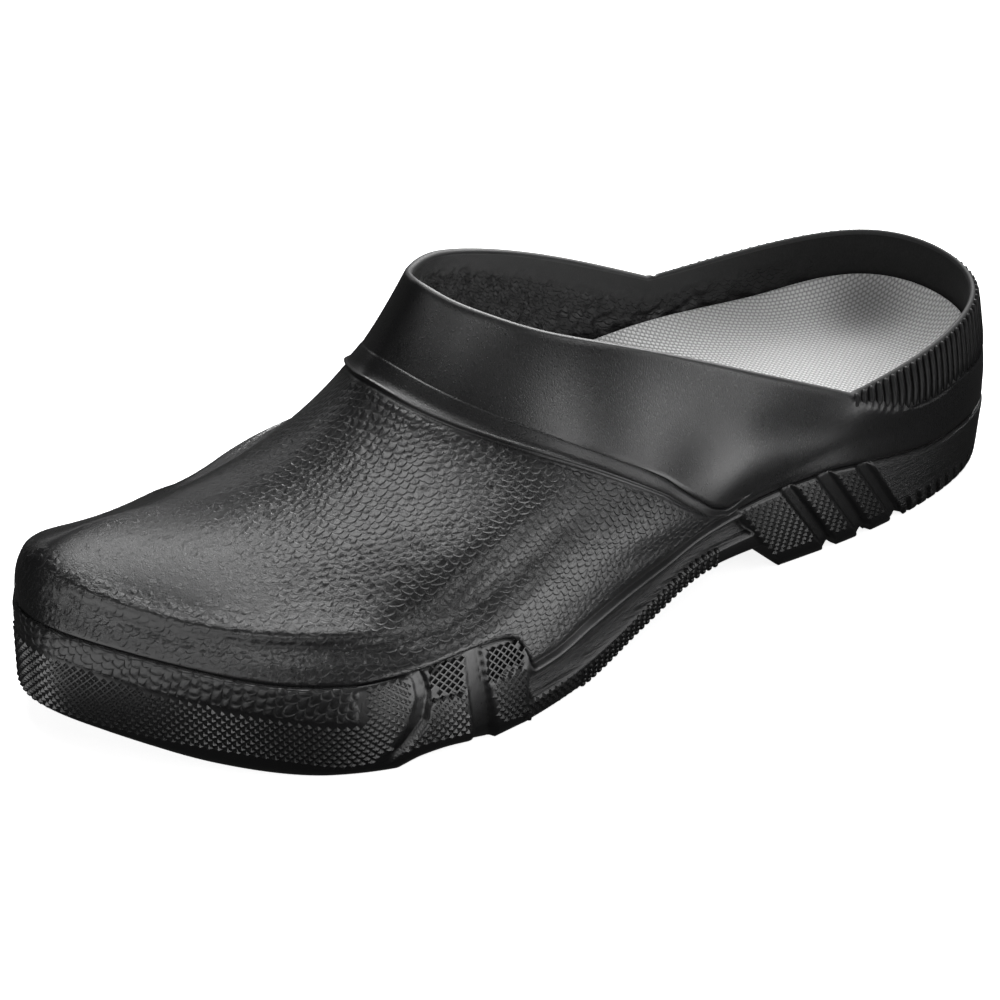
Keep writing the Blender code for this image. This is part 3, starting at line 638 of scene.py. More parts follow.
def stud_tree():
    """Sets a stud, a crossing of the net or a bead of a ridge at each point, turned to the wall."""
    sizes = [(label, "NodeSocketFloat") for label in ("Width", "Rise", "Height", "Bar")]
    sizes += [("Ridge", "NodeSocketVector"), ("Finish", "NodeSocketMaterial")]
    tree, given, result = new_tree("knurling", sizes)
    half = maths(tree, "MULTIPLY", given["Width"], 0.5)
    wide = maths(tree, "MULTIPLY", half, 0.94)
    stud = add_node(tree, "GeometryNodeMeshCone", Vertices=4, Side_Segments=2, Fill_Segments=1,
                    Radius_Bottom=wide, Radius_Top=maths(tree, "MULTIPLY", half, 0.2), Depth=given["Height"])
    sunk = add_node(tree, "GeometryNodeTransform", Geometry=stud.outputs["Mesh"],
                    Translation=(0, 0, -STUD_SUNK * MM))
    bead = add_node(tree, "GeometryNodeMeshUVSphere", Segments=8, Rings=6, Radius=0.5)
    ridge = add_node(tree, "GeometryNodeTransform", Geometry=bead.outputs["Mesh"], Scale=given["Ridge"])
    length = maths(tree, "MULTIPLY", given["Width"], math.sqrt(2))
    bar_size = add_node(tree, "ShaderNodeCombineXYZ", i0=length, i1=given["Bar"],
                        i2=BAR_HEIGHT * MM).outputs[0]
    crossing = tree.nodes.new("GeometryNodeJoinGeometry")
    for slant, lift in ((45, 0.25), (-45, 0.26)):
        bar = add_node(tree, "GeometryNodeMeshCube", Size=bar_size)
        laid = add_node(tree, "GeometryNodeTransform", Geometry=bar.outputs["Mesh"],
                        Rotation=(0, 0, math.radians(slant)), Translation=(0, 0, lift * MM))
        tree.links.new(laid.outputs[0], crossing.inputs[0])
    shapes = tree.nodes.new("GeometryNodeGeometryToInstance")
    for shape in (ridge, crossing, sunk):
        tree.links.new(shape.outputs[0], shapes.inputs[0])
    turn = add_node(tree, "FunctionNodeAxesToRotation", {"primary_axis": "Z", "secondary_axis": "X"},
                    i0=named(tree, "facing", "FLOAT_VECTOR"), i1=named(tree, "along", "FLOAT_VECTOR"))
    rise = add_node(tree, "ShaderNodeCombineXYZ", i0=1.0, i1=given["Rise"], i2=1.0).outputs[0]
    size = vectors(tree, "MULTIPLY", named(tree, "size", "FLOAT_VECTOR"), rise)
    studs = add_node(tree, "GeometryNodeInstanceOnPoints", Points=given["Geometry"],
                     Instance=shapes.outputs[0], Pick_Instance=True,
                     Instance_Index=named(tree, "kind", "INT"), Rotation=turn.outputs[0], Scale=size)
    real = add_node(tree, "GeometryNodeRealizeInstances", Geometry=studs.outputs[0])
    coated = add_node(tree, "GeometryNodeSetMaterial", Geometry=real.outputs[0], Material=given["Finish"])
    tree.links.new(coated.outputs[0], result[0])
    return tree


stud_at, stud_facing, stud_along, stud_size, stud_kind = stud_points()
knurl = make_piece("sole_knurling", stud_at, [], None,
                   [("facing", "FLOAT_VECTOR", stud_facing), ("along", "FLOAT_VECTOR", stud_along),
                    ("size", "FLOAT_VECTOR", stud_size), ("kind", "INT", stud_kind.astype(int))])
stud_finish = moulded_finish("sole_foam_studs", FOAM_BLACK, 0.3, crease=0.0, grain=0.008, fibre=0.0)
apply_tree(knurl, stud_tree(), {"Width": STUD_PITCH * MM, "Rise": 2 * STUD_ROW / STUD_PITCH,
                                "Height": STUD_HEIGHT * MM, "Bar": BAR_WIDTH * MM, "Finish": stud_finish,
                                "Ridge": (RIDGE_WIDTH * MM, RIDGE_LENGTH * MM, 2 * RIDGE_HEIGHT * MM)})
knurl.data.shade_flat()
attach(knurl, "root")


# Upper. One hollow shell of the same black foam, shot in one mould with the sole: a low toe wall with an
# undercut ridge, a scaly vamp, a raised band below the smooth collar, smooth quarters, and a notch in the
# collar edge on each side before the heel.
WALL, RIM_WALL, GAP = 3.0, 2.4, 0.3
# Rows from the heel round by the outer side: ridge inset and z, crown inset and z, mid x y z, band x y z,
# band width, rim x y z.
UPPER = np.array([
    (0, 24, 0, 27, 0.2, 0, 32, 0.5, 0, 40, 2.5, 0.4, 0, 49.8),
    (0, 24, 0, 27, 7.4, 24.4, 32, 8, 23.6, 40, 2.5, 8.4, 22, 49),
    (0, 24, 0, 27, 32.2, 37.2, 31.5, 32.5, 36.7, 39, 2.5, 33, 35.4, 46.9),
    (0, 28.5, 0, 31, 71.5, 41.4, 34.5, 71, 41.5, 39.2, 2.5, 69.3, 40.2, 44.4),
    (-0.5, 25, -1, 26.6, 110.5, 41, 28.4, 110.5, 41.6, 31, 2.5, 105, 40.2, 62.6),
    (-0.3, 24.5, -0.4, 28.5, 144.5, 48.2, 34, 137, 46, 42, 4.5, 138, 35, 78),
    (0.6, 35, 2.2, 41, 175.5, 50, 49.5, 160.5, 43, 57, 6, 158, 27, 85.2),
    (3.2, 37.3, 9, 42.3, 201, 41, 53.5, 178.5, 32, 65.5, 7, 169, 18.3, 89.5),
    (3.6, 38.4, 10, 42.8, 223, 23, 54, 191, 17, 71.5, 7.5, 175.5, 10, 92.4),
    (3.4, 41.3, 10.5, 46.3, 234, 5, 55, 195, 4, 74, 7.5, 178.3, 3, 94.2),
    (2.6, 46, 9.5, 49.9, 238, -8, 53.8, 194.3, -5, 73, 7.5, 178.3, -3, 94.2),
    (3.2, 41.8, 10.5, 45.6, 231, -17, 51.3, 188.3, -16.8, 68.6, 7.5, 175.5, -9.5, 92.4),
    (2.8, 34, 8.5, 37.2, 210, -31, 43.6, 176.3, -30, 61, 7, 169, -17.5, 89.2),
    (1.2, 34.5, 3.2, 38.3, 180, -42, 45.5, 160, -42, 55.5, 6, 158, -26.5, 85.3),
    (-0.5, 25, -1, 29, 144, -45.7, 34, 137, -46, 42, 4.5, 138, -36, 77.3),
    (-0.4, 25.2, -0.8, 26.7, 108.5, -43.2, 28.4, 109, -43.8, 31, 2.5, 105, -42.5, 62.3),
    (0, 28.5, 0, 31, 72, -42.8, 34.5, 72, -43.2, 39.5, 2.5, 71.5, -43.3, 45.5),
    (0, 24, 0, 27, 33, -37.6, 31.5, 33, -36.8, 39, 2.5, 33, -35.6, 47.8),
    (0, 24, 0, 27, 9, -24.6, 32, 9, -23.7, 40, 2.5, 9, -22.2, 49.9)], float)
# Rows of the notches, and places of the ridge and the band among a column's control points.
NOTCH_OUTER, NOTCH_INNER = 3, 16
RIDGE, BAND = 2, 5
SKIN_STEP, SKIN_PITCH, COLLAR_PITCH, INNER_PITCH, INNER_DEEP_PITCH = 0.78, 0.76, 1.3, 1.2, 4.5
# Band across its width: share, and height as a part of the band's lift at the front and at the waist.
BAND_SECTION = np.array([
    (-0.10, 0, 0), (-0.05, -0.15, -0.15), (-0.015, 0.25, 0.25), (0.02, 0.85, 0.7), (0.05, 1.05, 0.85),
    (0.085, 0.95, 0.8), (0.12, 0.6, 0.68), (0.16, 0.45, 0.62), (0.42, 0.36, 0.6), (0.65, 0.26, 0.6),
    (0.84, 0.16, 0.58), (0.88, 0.12, 0.5), (0.90, 0.05, -0.35), (0.925, 0, -0.6), (0.955, 0, -0.3),
    (1.02, 0, 0)])
BAND_LIFT, BAND_START, BAND_FULL = 1.1, 104, 112
# Towards the waist the band drops to the foot of the upper: x, drop.
BAND_DROP = [(104, 8), (110, 7), (117, 4.4), (125, 1.6), (137, 0)]
# Toe wall: share of the way from the foot to the ridge, and how far it stands out. It leans back, then
# runs under the edge of the ridge.
TOE_WALL = [(0, 0), (0.15, -0.5), (0.35, -1.1), (0.55, -1.6), (0.74, -1.8), (0.87, -1.4), (0.96, -0.2),
            (1.02, 0.4), (1.1, 0.45), (1.25, 0.15), (1.45, 0)]
TROUGH = [(172, 47), (180, 45.5), (193.5, 42), (204, 38.6), (213, 36.6), (226, 36.5)]
FEATHER_GROOVE = 0.45
# Lower edge of the ribbed panel round the heel: x, z.
RIB_FOOT = [(0, 33.2), (15, 33.0), (25, 33.8), (37, 33.2), (46.7, 34.2), (56, 37.6), (62.8, 41.2),
            (69.7, 45.0)]
RIB_PANEL_END, RIB_RECESS = 70.5, 0.85
# Scales: width, and the way their free edges point on the skin laid flat. Inside: lumps with their size and
# depth, and the width of the pebbles on them.
SCALE_WIDTH, SCALE_LIE = 2.9, np.array([0.55, 0.835])
LUMP_SIZE, LUMP_DEPTH, PEBBLE = 3.6, 3.2, 2.6
PATTERN_STEP, PATTERN_ROWS = 10, 24
# From where to where along the shoe the scales set in, wear off on the toe and on its inner side, and weaken
# on the toe wall; then where the lining gets lumpy, and where it and the rim lose the heel's dull finish.
SCALES_FROM, TOE_WORN, SIDE_WORN, WALL_WORN = (110, 118), (205, 250), (185, 215), (225, 240)
LINING_LUMPY, LINING_SATIN, RIM_SATIN = (10, 40), (20, 70), (70, 100)


def rim_curve(u):
    """Collar edge: a front and a heel curve that meet in a notch on each side."""
    rim = UPPER[:, 11:14]
    front = spline_through(KNOTS[NOTCH_OUTER:NOTCH_INNER + 1], rim[NOTCH_OUTER:NOTCH_INNER + 1], u)
    order = list(range(NOTCH_INNER, len(rim))) + list(range(NOTCH_OUTER + 1))
    knots = np.concatenate([KNOTS[NOTCH_INNER:] - PERIOD, KNOTS[:NOTCH_OUTER + 1]])
    wrapped = np.where(u > KNOTS[NOTCH_INNER], u - PERIOD, u)
    heel = spline_through(knots, rim[order], wrapped)
    is_front = (u >= KNOTS[NOTCH_OUTER]) & (u <= KNOTS[NOTCH_INNER])
    return np.where(is_front[:, None], front, heel)


def control_curves(u):
    """Foot, wall, ridge, crown, mid, band and rim points of each column, and the width of its band."""
    rows = spline_through(KNOTS, UPPER, u, PERIOD)
    plan, normal = outline(u), inward(u)
    foot = np.column_stack([plan, profile(FEATHER, plan[:, 0]) + GAP])

    def inset(distance, height):
        return np.column_stack([plan + normal * distance[:, None], height])

    ridge, crown = inset(rows[:, 0], rows[:, 1]), inset(rows[:, 2], rows[:, 3])
    wall = inset(rows[:, 0] * 0.12, foot[:, 2] + 0.55 * (rows[:, 1] - foot[:, 2]))
    curves = np.stack([foot, wall, ridge, crown, rows[:, 4:7], rows[:, 7:10], rim_curve(u)], axis=1)
    return curves, rows[:, 10]


def lengths_of(curves):
    """Distances along each column to its points."""
    steps = np.cumsum(np.linalg.norm(np.diff(curves, axis=1), axis=2), axis=1)
    return np.hstack([np.zeros((len(curves), 1)), steps])


def zip_chains(left, right):
    """Triangles between two chains of vertices that may differ in number."""
    faces, i, j, a, b = [], 0, 0, len(left) - 1, len(right) - 1
    while i < a or j < b:
        if j == b or (i < a and (i + 1) * b <= (j + 1) * a):
            faces.append((left[i], right[j], left[i + 1]))
            i += 1
        else:
            faces.append((left[i], right[j], right[j + 1]))
            j += 1
    return faces


def loft_chains(chains):
    """Points and triangles of a ring of chains; the parts of each chain meet those of the next."""
    points, ids = [], []
    start = 0
    for chain in chains:
        own = []
        for part in chain:
            own.append(np.arange(start, start + len(part)))
            start += len(part) - 1
        start += 1
        ids.append(own)
        points.append(np.vstack([part[:-1] for part in chain[:-1]] + [chain[-1]]))
    faces = []
    for i, own in enumerate(ids):
        for left, right in zip(own, ids[(i + 1) % len(ids)]):
            faces += zip_chains(left, right)
    return np.vstack(points), faces, ids


def skin_normals(points, faces):
    """Unit normals of an open skin, pointing away from the middle of the shoe at the heel's back."""
    mesh = bpy.data.meshes.new("skin")
    mesh.from_pydata(points.tolist(), [], faces)
    normal = np.zeros(len(points) * 3, np.float32)
    mesh.vertices.foreach_get("normal", normal)
    bpy.data.meshes.remove(mesh)
    normal = normal.reshape(-1, 3).astype(float)
    back = points[:, 0] < 10
    return normal if normal[back, 0].mean() < 0 else -normal


def unfold(grid, rounds=60):
    """Flattens a skin like a cutting pattern: each triangle is turned to fit, then all are joined again."""
    columns, rows = grid.shape[:2]
    ids = np.arange(columns * rows).reshape(columns, rows)
    a, b, c, d = ids[:-1, :-1].ravel(), ids[1:, :-1].ravel(), ids[1:, 1:].ravel(), ids[:-1, 1:].ravel()
    corners = np.vstack([np.stack([a, b, c], 1), np.stack([a, c, d], 1)])
    place = grid.reshape(-1, 3)[corners]
    side, other = place[:, 1] - place[:, 0], place[:, 2] - place[:, 0]
    length = np.linalg.norm(side, axis=1)
    along = np.sum(other * side, axis=1) / length
    across = np.sqrt(np.maximum(np.sum(other ** 2, axis=1) - along ** 2, 1e-6))
    own = np.zeros((len(corners), 3, 2))
    own[:, 1, 0], own[:, 2, 0], own[:, 2, 1] = length, along, across
    stiff, joined = [], np.zeros((len(ids.ravel()),) * 2)
    for k in range(3):
        i, j, apex = corners[:, k], corners[:, (k + 1) % 3], own[:, (k + 2) % 3]
        p, q = own[:, k] - apex, own[:, (k + 1) % 3] - apex
        stiff.append(np.clip(np.sum(p * q, 1) / np.abs(p[:, 0] * q[:, 1] - p[:, 1] * q[:, 0]), 0.05, 8))
        for row, column, sign in ((i, i, 1), (j, j, 1), (i, j, -1), (j, i, -1)):
            np.add.at(joined, (row, column), sign * stiff[k])
    joined[0] = 0
    joined[0, 0] = 1
    solve = np.linalg.inv(joined)
    rim, foot = grid[:, 0, :2], grid[:, -1, :2]
    outward = unit(foot - rim + 0.3 * (foot - np.array([150.0, 0.0])))
    flat = (rim[:, None] + outward[:, None] * lengths_of(grid)[:, :, None]).reshape(-1, 2)
    for _ in range(rounds):
        now = flat[corners]
        fit = sum(np.einsum("t,ti,tj->tij", stiff[k], now[:, k] - now[:, (k + 1) % 3],
                            own[:, k] - own[:, (k + 1) % 3]) for k in range(3))
        turn = np.arctan2(fit[:, 1, 0] - fit[:, 0, 1], fit[:, 0, 0] + fit[:, 1, 1])
        cos, sin = np.cos(turn), np.sin(turn)
        pull = np.zeros_like(flat)
        for k in range(3):
            gap = own[:, k] - own[:, (k + 1) % 3]
            turned = np.stack([cos * gap[:, 0] - sin * gap[:, 1], sin * gap[:, 0] + cos * gap[:, 1]], 1)
            np.add.at(pull, corners[:, k], stiff[k][:, None] * turned)
            np.add.at(pull, corners[:, (k + 1) % 3], -stiff[k][:, None] * turned)
        pull[0] = 0
        flat = solve @ pull
    return flat.reshape(columns, rows, 2)


def below_rim(lengths, curve, distances):
    """Points of a column at these distances down from the rim, carried straight down past its foot."""
    points = spline_through(lengths, curve, np.maximum(lengths[-1] - distances, 0))
    points[:, 2] -= np.maximum(distances - lengths[-1], 0)
    return points


def flat_places(pattern, column, share):
    """Where fine points of the skin lie on the flattened pattern."""
    c = np.clip(column, 0, pattern.shape[0] - 1.001)
    r = np.clip(share * (pattern.shape[1] - 1), 0, pattern.shape[1] - 1.001)
    i, j = c.astype(int), r.astype(int)
    fc, fr = (c - i)[:, None], (r - j)[:, None]
    return ((pattern[i, j] * (1 - fr) + pattern[i, j + 1] * fr) * (1 - fc)
            + (pattern[i + 1, j] * (1 - fr) + pattern[i + 1, j + 1] * fr) * fc)


def upper_relief(points, foot_x, foot_y, along, ridge_at):
    """Shape worked into the plain skin: undercut toe wall, trough at the ball, rib panel and foot."""
    x, z = points[:, 0], points[:, 2]
    toe_wall = ramp(foot_x, 214, 232) * np.interp(along / ridge_at, *np.array(TOE_WALL).T)
    toe_wall = toe_wall * (0.15 + 0.85 * ramp(foot_y, -14, 9))
    trough_z = profile(TROUGH, x)
    on_side = ramp(foot_x, 172, 186) * (1 - ramp(foot_x, 216, 232))
    trough = on_side * (-1.8 * bump_at(z, trough_z, 3.6) + 0.8 * bump_at(z, trough_z - 7.0, 4.0))
    panel_foot = profile(RIB_FOOT, x)
    panel = ramp(z, panel_foot - 0.5, panel_foot + 0.4) * (1 - ramp(x, RIB_PANEL_END - 0.8, RIB_PANEL_END))
    return toe_wall + trough - RIB_RECESS * panel - FEATHER_GROOVE * (1 - ramp(along, 0, 1.0))


def build_upper(material, lining):
    """The shell: outer skin of chains that follow its columns, rounded rim, inner skin and foot edge."""
    u = paired_columns(SKIN_STEP)
    count = len(u)
    curves, band_width = control_curves(u)
    lengths = lengths_of(curves)
    band_x = curves[:, BAND, 0]
    lift = BAND_LIFT * ramp(band_x, BAND_START, BAND_FULL)
    band_foot = np.maximum(lengths[:, BAND] - profile(BAND_DROP, band_x), 1.6)
    chains, details = [], []
    for i in range(count):
        band_at = band_foot[i] + BAND_SECTION[:, 0] * band_width[i]
        below = np.linspace(0, band_at[0], max(4, round(band_at[0] / SKIN_PITCH)) + 1)
        above = np.linspace(band_at[-1], lengths[i, -1],
                            max(4, round((lengths[i, -1] - band_at[-1]) / COLLAR_PITCH)) + 1)
        places = np.concatenate([below[:-1], band_at[:-1], above])
        row = spline_through(lengths[i], curves[i], places)
        ends = len(below) - 1, len(below) + len(band_at) - 2
        chains.append([row[:ends[0] + 1], row[ends[0]:ends[1] + 1], row[ends[1]:]])
        raised = np.zeros(len(places))
        section = BAND_SECTION[:, 2] + (BAND_SECTION[:, 1] - BAND_SECTION[:, 2]) * ramp(band_x[i], 128, 168)
        raised[ends[0]:ends[1] + 1] = lift[i] * section
        details.append(np.column_stack([np.full(len(places), i), places, raised,
                                        np.full(len(places), lengths[i, RIDGE]), band_at[0] - places]))
    outer, outer_faces, ids = loft_chains(chains)
    number, along, lifted, ridge_at, under_band = np.vstack(details).T
    column = number.astype(int)
    normal = skin_normals(outer, outer_faces)
    foot_x, foot_y = curves[:, 0, :2][column].T
    relief = upper_relief(outer, foot_x, foot_y, along, ridge_at)
    outer = outer + normal * (lifted + relief)[:, None]

    coarse_curves = control_curves(np.append(u[::PATTERN_STEP], u[0]))[0]
    coarse_lengths = lengths_of(coarse_curves)
    reach = lengths[:, -1].max()
    grid = np.stack([below_rim(n, c, np.linspace(0, reach, PATTERN_ROWS))
                     for n, c in zip(coarse_lengths, coarse_curves)])
    from_rim = lengths[:, -1][column] - along
    place = flat_places(unfold(grid), number / PATTERN_STEP, from_rim / reach)
    x, y = outer[:, 0], outer[:, 1]
    below_band = ramp(under_band, 0.2, 1.4)
    front = ramp(foot_x, *SCALES_FROM) * ramp(along, 0.3, np.where(foot_x < 186, 3.5, 1.2))
    on_top = ramp(along, ridge_at + 1, ridge_at + 8)
    worn = 1 - 0.68 * on_top * ramp(x - 0.35 * y, *TOE_WORN)
    worn = worn * (1 - 0.4 * on_top * ramp(-y, 12, 30) * ramp(x, *SIDE_WORN))
    wall = 1 - 0.35 * (1 - on_top) * ramp(foot_x, *WALL_WORN)
    scaly = below_band * front * worn * wall

    inner_u = u[::2]
    inner_curves = control_curves(inner_u)[0]
    inner_lengths = lengths_of(inner_curves)
    inner_chains, inner_detail = [], []
    for i in range(len(inner_u)):
        total = inner_lengths[i, -1]
        near = np.arange(0, min(32.0, total * 0.7), INNER_PITCH)
        deep = np.linspace(near[-1], total, max(2, round((total - near[-1]) / INNER_DEEP_PITCH)) + 1)
        places = total - np.concatenate([near, deep[1:]])
        row = spline_through(inner_lengths[i], inner_curves[i], places)
        inner_chains.append([row[:len(near)], row[len(near) - 1:]])
        inner_detail.append(np.column_stack([np.full(len(places), 2 * i), places / total, total - places]))
    inner, inner_faces, inner_ids = loft_chains(inner_chains)
    inner_number, share, depth = np.vstack(inner_detail).T
    thin = WALL + (RIM_WALL - WALL) * (1 - ramp(depth, 0, 5))
    inner = inner - skin_normals(inner, inner_faces) * thin[:, None]
    half = inner_number.astype(int)
    at_foot = share <= 1e-6
    floor_z = (profile(FEATHER, outline(u)[:, 0]) + GAP)[half]
    inner[:, 2] = np.maximum(inner[:, 2], floor_z + np.where(at_foot, 0, 0.6))
    inner[at_foot] = np.column_stack([(outline(u) + inward(u) * WALL)[half[at_foot]], floor_z[at_foot]])

    outer_rim = np.array([own[-1][-1] for own in ids])
    outer_foot = np.array([own[0][0] for own in ids])
    inner_rim = len(outer) + np.array([own[0][0] for own in inner_ids])
    inner_foot = len(outer) + np.array([own[-1][-1] for own in inner_ids])
    rim_inside = np.zeros((count, 3))
    rim_inside[::2] = inner[inner_rim - len(outer)]
    rim_inside[1::2] = 0.5 * (rim_inside[::2] + np.roll(rim_inside[::2], -1, axis=0))
    rise = unit(outer[outer_rim] - outer[outer_rim - 1])
    middle, reach = 0.5 * (outer[outer_rim] + rim_inside), 0.5 * (outer[outer_rim] - rim_inside)
    turns = np.linspace(0, math.pi, 8)[1:-1]
    rounded = [middle + reach * math.cos(t) + rise * (1.15 * math.sin(t)) for t in turns]
    points = np.vstack([outer, inner] + rounded)
    rings = [outer_rim] + [len(outer) + len(inner) + k * count + np.arange(count) for k in range(len(turns))]
    faces = outer_faces + [tuple(len(outer) + v for v in face) for face in inner_faces]
    for a, b in zip(rings[:-1], rings[1:]):
        faces += np.stack([a, np.roll(a, -1), np.roll(b, -1), b], axis=1).tolist()

    def halve(full, halved):
        """Triangles from a ring to one with half its points."""
        odd, after, beside = full[1::2], np.roll(full[::2], -1), np.roll(halved, -1)
        return np.vstack([np.stack([full[::2], odd, halved], 1), np.stack([odd, after, beside], 1),
                          np.stack([odd, beside, halved], 1)]).tolist()

    faces += halve(rings[-1], inner_rim) + halve(outer_foot, inner_foot)
    zeros = np.zeros(len(points))
    cells, amount, lumpy = np.zeros((len(points), 3)), zeros.copy(), zeros.copy()
    cells[:len(outer), 0] = place @ np.array([SCALE_LIE[1], -SCALE_LIE[0]]) / SCALE_WIDTH
    cells[:len(outer), 1] = place @ SCALE_LIE / SCALE_WIDTH
    amount[:len(outer)] = scaly
    lining_at = slice(len(outer), len(outer) + len(inner))
    lumpy[lining_at] = ramp(depth, 3.5, 8) * ramp(inner[:, 0], *LINING_LUMPY) * ~at_foot
    cells[lining_at, 0] = run_of(inner_curves[:, -1])[half // 2] / PEBBLE
    cells[lining_at, 1] = depth / PEBBLE
    amount[lining_at] = 0.9 * lumpy[lining_at]
    dull = zeros.copy()
    dull[lining_at] = 1 - ramp(inner[:, 0], *LINING_SATIN)
    dull[lining_at.stop:] = 1 - 0.65 * ramp(points[lining_at.stop:, 0], *RIM_SATIN)
    attributes = [("scale_place", "FLOAT_VECTOR", cells), ("scale_amount", "FLOAT", amount),
                  ("lump_amount", "FLOAT", lumpy), ("dull", "FLOAT", dull)]
    piece = make_piece("upper_shell", points, faces, material, attributes)
    piece.data.materials.append(lining)
    inside = np.zeros(len(faces), np.int32)
    inside[len(outer_faces):len(outer_faces) + len(inner_faces)] = 1
    piece.data.polygons.foreach_set("material_index", inside)
    return piece


upper_finish = moulded_finish("upper_foam", FOAM_BLACK, 0.31, crease=0.18, grain=0.05, fibre=0.0)
# The inside is the same foam, given a darker colour as painted shade, and a lower shine.
shaded_inner_finish = moulded_finish("upper_foam_inside_shaded", (0.004, 0.004, 0.0042), 0.4, crease=0.25, grain=0.05,
                              fibre=0.0, shine=0.6)
upper = build_upper(upper_finish, shaded_inner_finish)
apply_tree(upper, scale_relief, {"Depth": 0.14 * MM, "Lump Size": LUMP_SIZE * MM,
                                 "Lump Depth": LUMP_DEPTH * MM})
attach(upper, "root")
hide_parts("upper")


# Heel ribs. Half-round ribs of the same foam are moulded upright on the heel counter, side by side,
# from a scalloped lower edge up and over the rim.
RIB_PITCH, RIB_RADIUS, RIB_POINTS = 2.65, 0.92, 11


def rib_lines():
    """Points up each rib, on the skin of the heel and over its rim."""
    u = np.linspace(KNOTS[NOTCH_INNER] - PERIOD, KNOTS[NOTCH_OUTER], 1200)
    rim = rim_curve(u % PERIOD)
    run = run_of(rim[:, :2])
    at = np.interp(np.arange(1.5, run[-1] - 1.0, RIB_PITCH), run, u) % PERIOD
    curves = control_curves(at)[0]
    lengths = lengths_of(curves)
    normal = -inward(at)
    lines = []
    for i in range(len(at)):
        fine = np.linspace(0, lengths[i, -1], 80)
        skin = spline_through(lengths[i], curves[i], fine)
        foot = min(float(profile(RIB_FOOT, skin[-1, 0])), skin[-1, 2] - 3.0)
        places = np.interp(np.linspace(foot, skin[-1, 2] - 0.7, RIB_POINTS - 2), skin[:, 2], fine)
        line = spline_through(lengths[i], curves[i], places)
        line[:, :2] += normal[i] * (0.2 - RIB_RECESS)
        over = skin[-1] + np.outer([0.75, 1.1], np.append(-normal[i], 0)) + np.outer([-0.2, 0.1], [0, 0, 1])
        lines.append(np.vstack([line, over]))
    return lines


def rib_tree():
    """Sweeps a round section along each line, drawn in at the ends."""
    sizes = [("Radius", "NodeSocketFloat"), ("Finish", "NodeSocketMaterial")]
    tree, given, result = new_tree("heel ribs", sizes)
    path = add_node(tree, "GeometryNodeMeshToCurve", Mesh=given["Geometry"])
    sized = add_node(tree, "GeometryNodeSetCurveRadius", Curve=path.outputs[0],
                     Radius=named(tree, "fullness"))
    section = add_node(tree, "GeometryNodeCurvePrimitiveCircle", {"mode": "RADIUS"}, Resolution=12,
                       Radius=given["Radius"])
    swept = add_node(tree, "GeometryNodeCurveToMesh", Curve=sized.outputs[0],
                     Profile_Curve=section.outputs[0], Scale=named(tree, "fullness"), Fill_Caps=True)
    real = add_node(tree, "GeometryNodeRealizeInstances", Geometry=swept.outputs[0])
    coated = add_node(tree, "GeometryNodeSetMaterial", Geometry=real.outputs[0], Material=given["Finish"])
    tree.links.new(coated.outputs[0], result[0])
    return tree


def build_ribs(material):
    lines = rib_lines()
    mesh = bpy.data.meshes.new("heel_ribs")
    points = (np.vstack(lines) - FRAME_ORIGIN) * MM
    first = np.arange(len(lines)) * RIB_POINTS
    edges = [(a + k, a + k + 1) for a in first for k in range(RIB_POINTS - 1)]
    mesh.from_pydata(points.tolist(), edges, [])
    full = np.tile(np.interp(np.arange(RIB_POINTS), [0, 1, 2, RIB_POINTS - 4, RIB_POINTS - 2, RIB_POINTS - 1],
                             [0.5, 0.9, 1, 1, 0.85, 0.5]), len(lines))
    mesh.attributes.new("fullness", "FLOAT", "POINT").data.foreach_set("value", full.astype(np.float32))
    piece = bpy.data.objects.new("heel_ribs", mesh)
    bpy.context.scene.collection.objects.link(piece)
    return apply_tree(piece, rib_tree(), {"Radius": RIB_RADIUS * MM, "Finish": material})


rib_finish = moulded_finish("heel_rib_foam", (0.006, 0.006, 0.0063), 0.42, crease=0.0, grain=0.02, fibre=0.0,
                            shine=0.3)
ribs = build_ribs(rib_finish)
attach(ribs, "root")


# Insole. A loose dished footbed of firm foam, covered with a pale grey woven textile; it lies in the recess
# of the sole, and its edge rises against the inside of the heel.
FOOTBED = [(0, 28), (40, 26.5), (80, 27), (110, 26), (150, 21.5), (190, 18.5), (250, 20.5), (285, 25.5)]
CUP = [(0, 11), (20, 9), (40, 7), (80, 9), (110, 9.5), (150, 4), (190, 1), (285, 1)]
CUP_REACH, INSOLE_STEP = 20.0, 1.4
CUP_INSETS = (0.6, 1.5, 3, 4.5, 6.5, 9, 12, 15, 18, 20)
WEAVE, PALE_GREY = 1.25, (0.75, 0.75, 0.75)
# Painted shade in the heel cup, the textile drawn greyer round a place there: middle of that patch, its
# reach, how grey.
SHADED_CUP_MIDDLE, SHADED_CUP_REACH, SHADED_CUP_DARKEST = np.array([14.0, -15.6, 33.0]), 20.0, 0.4


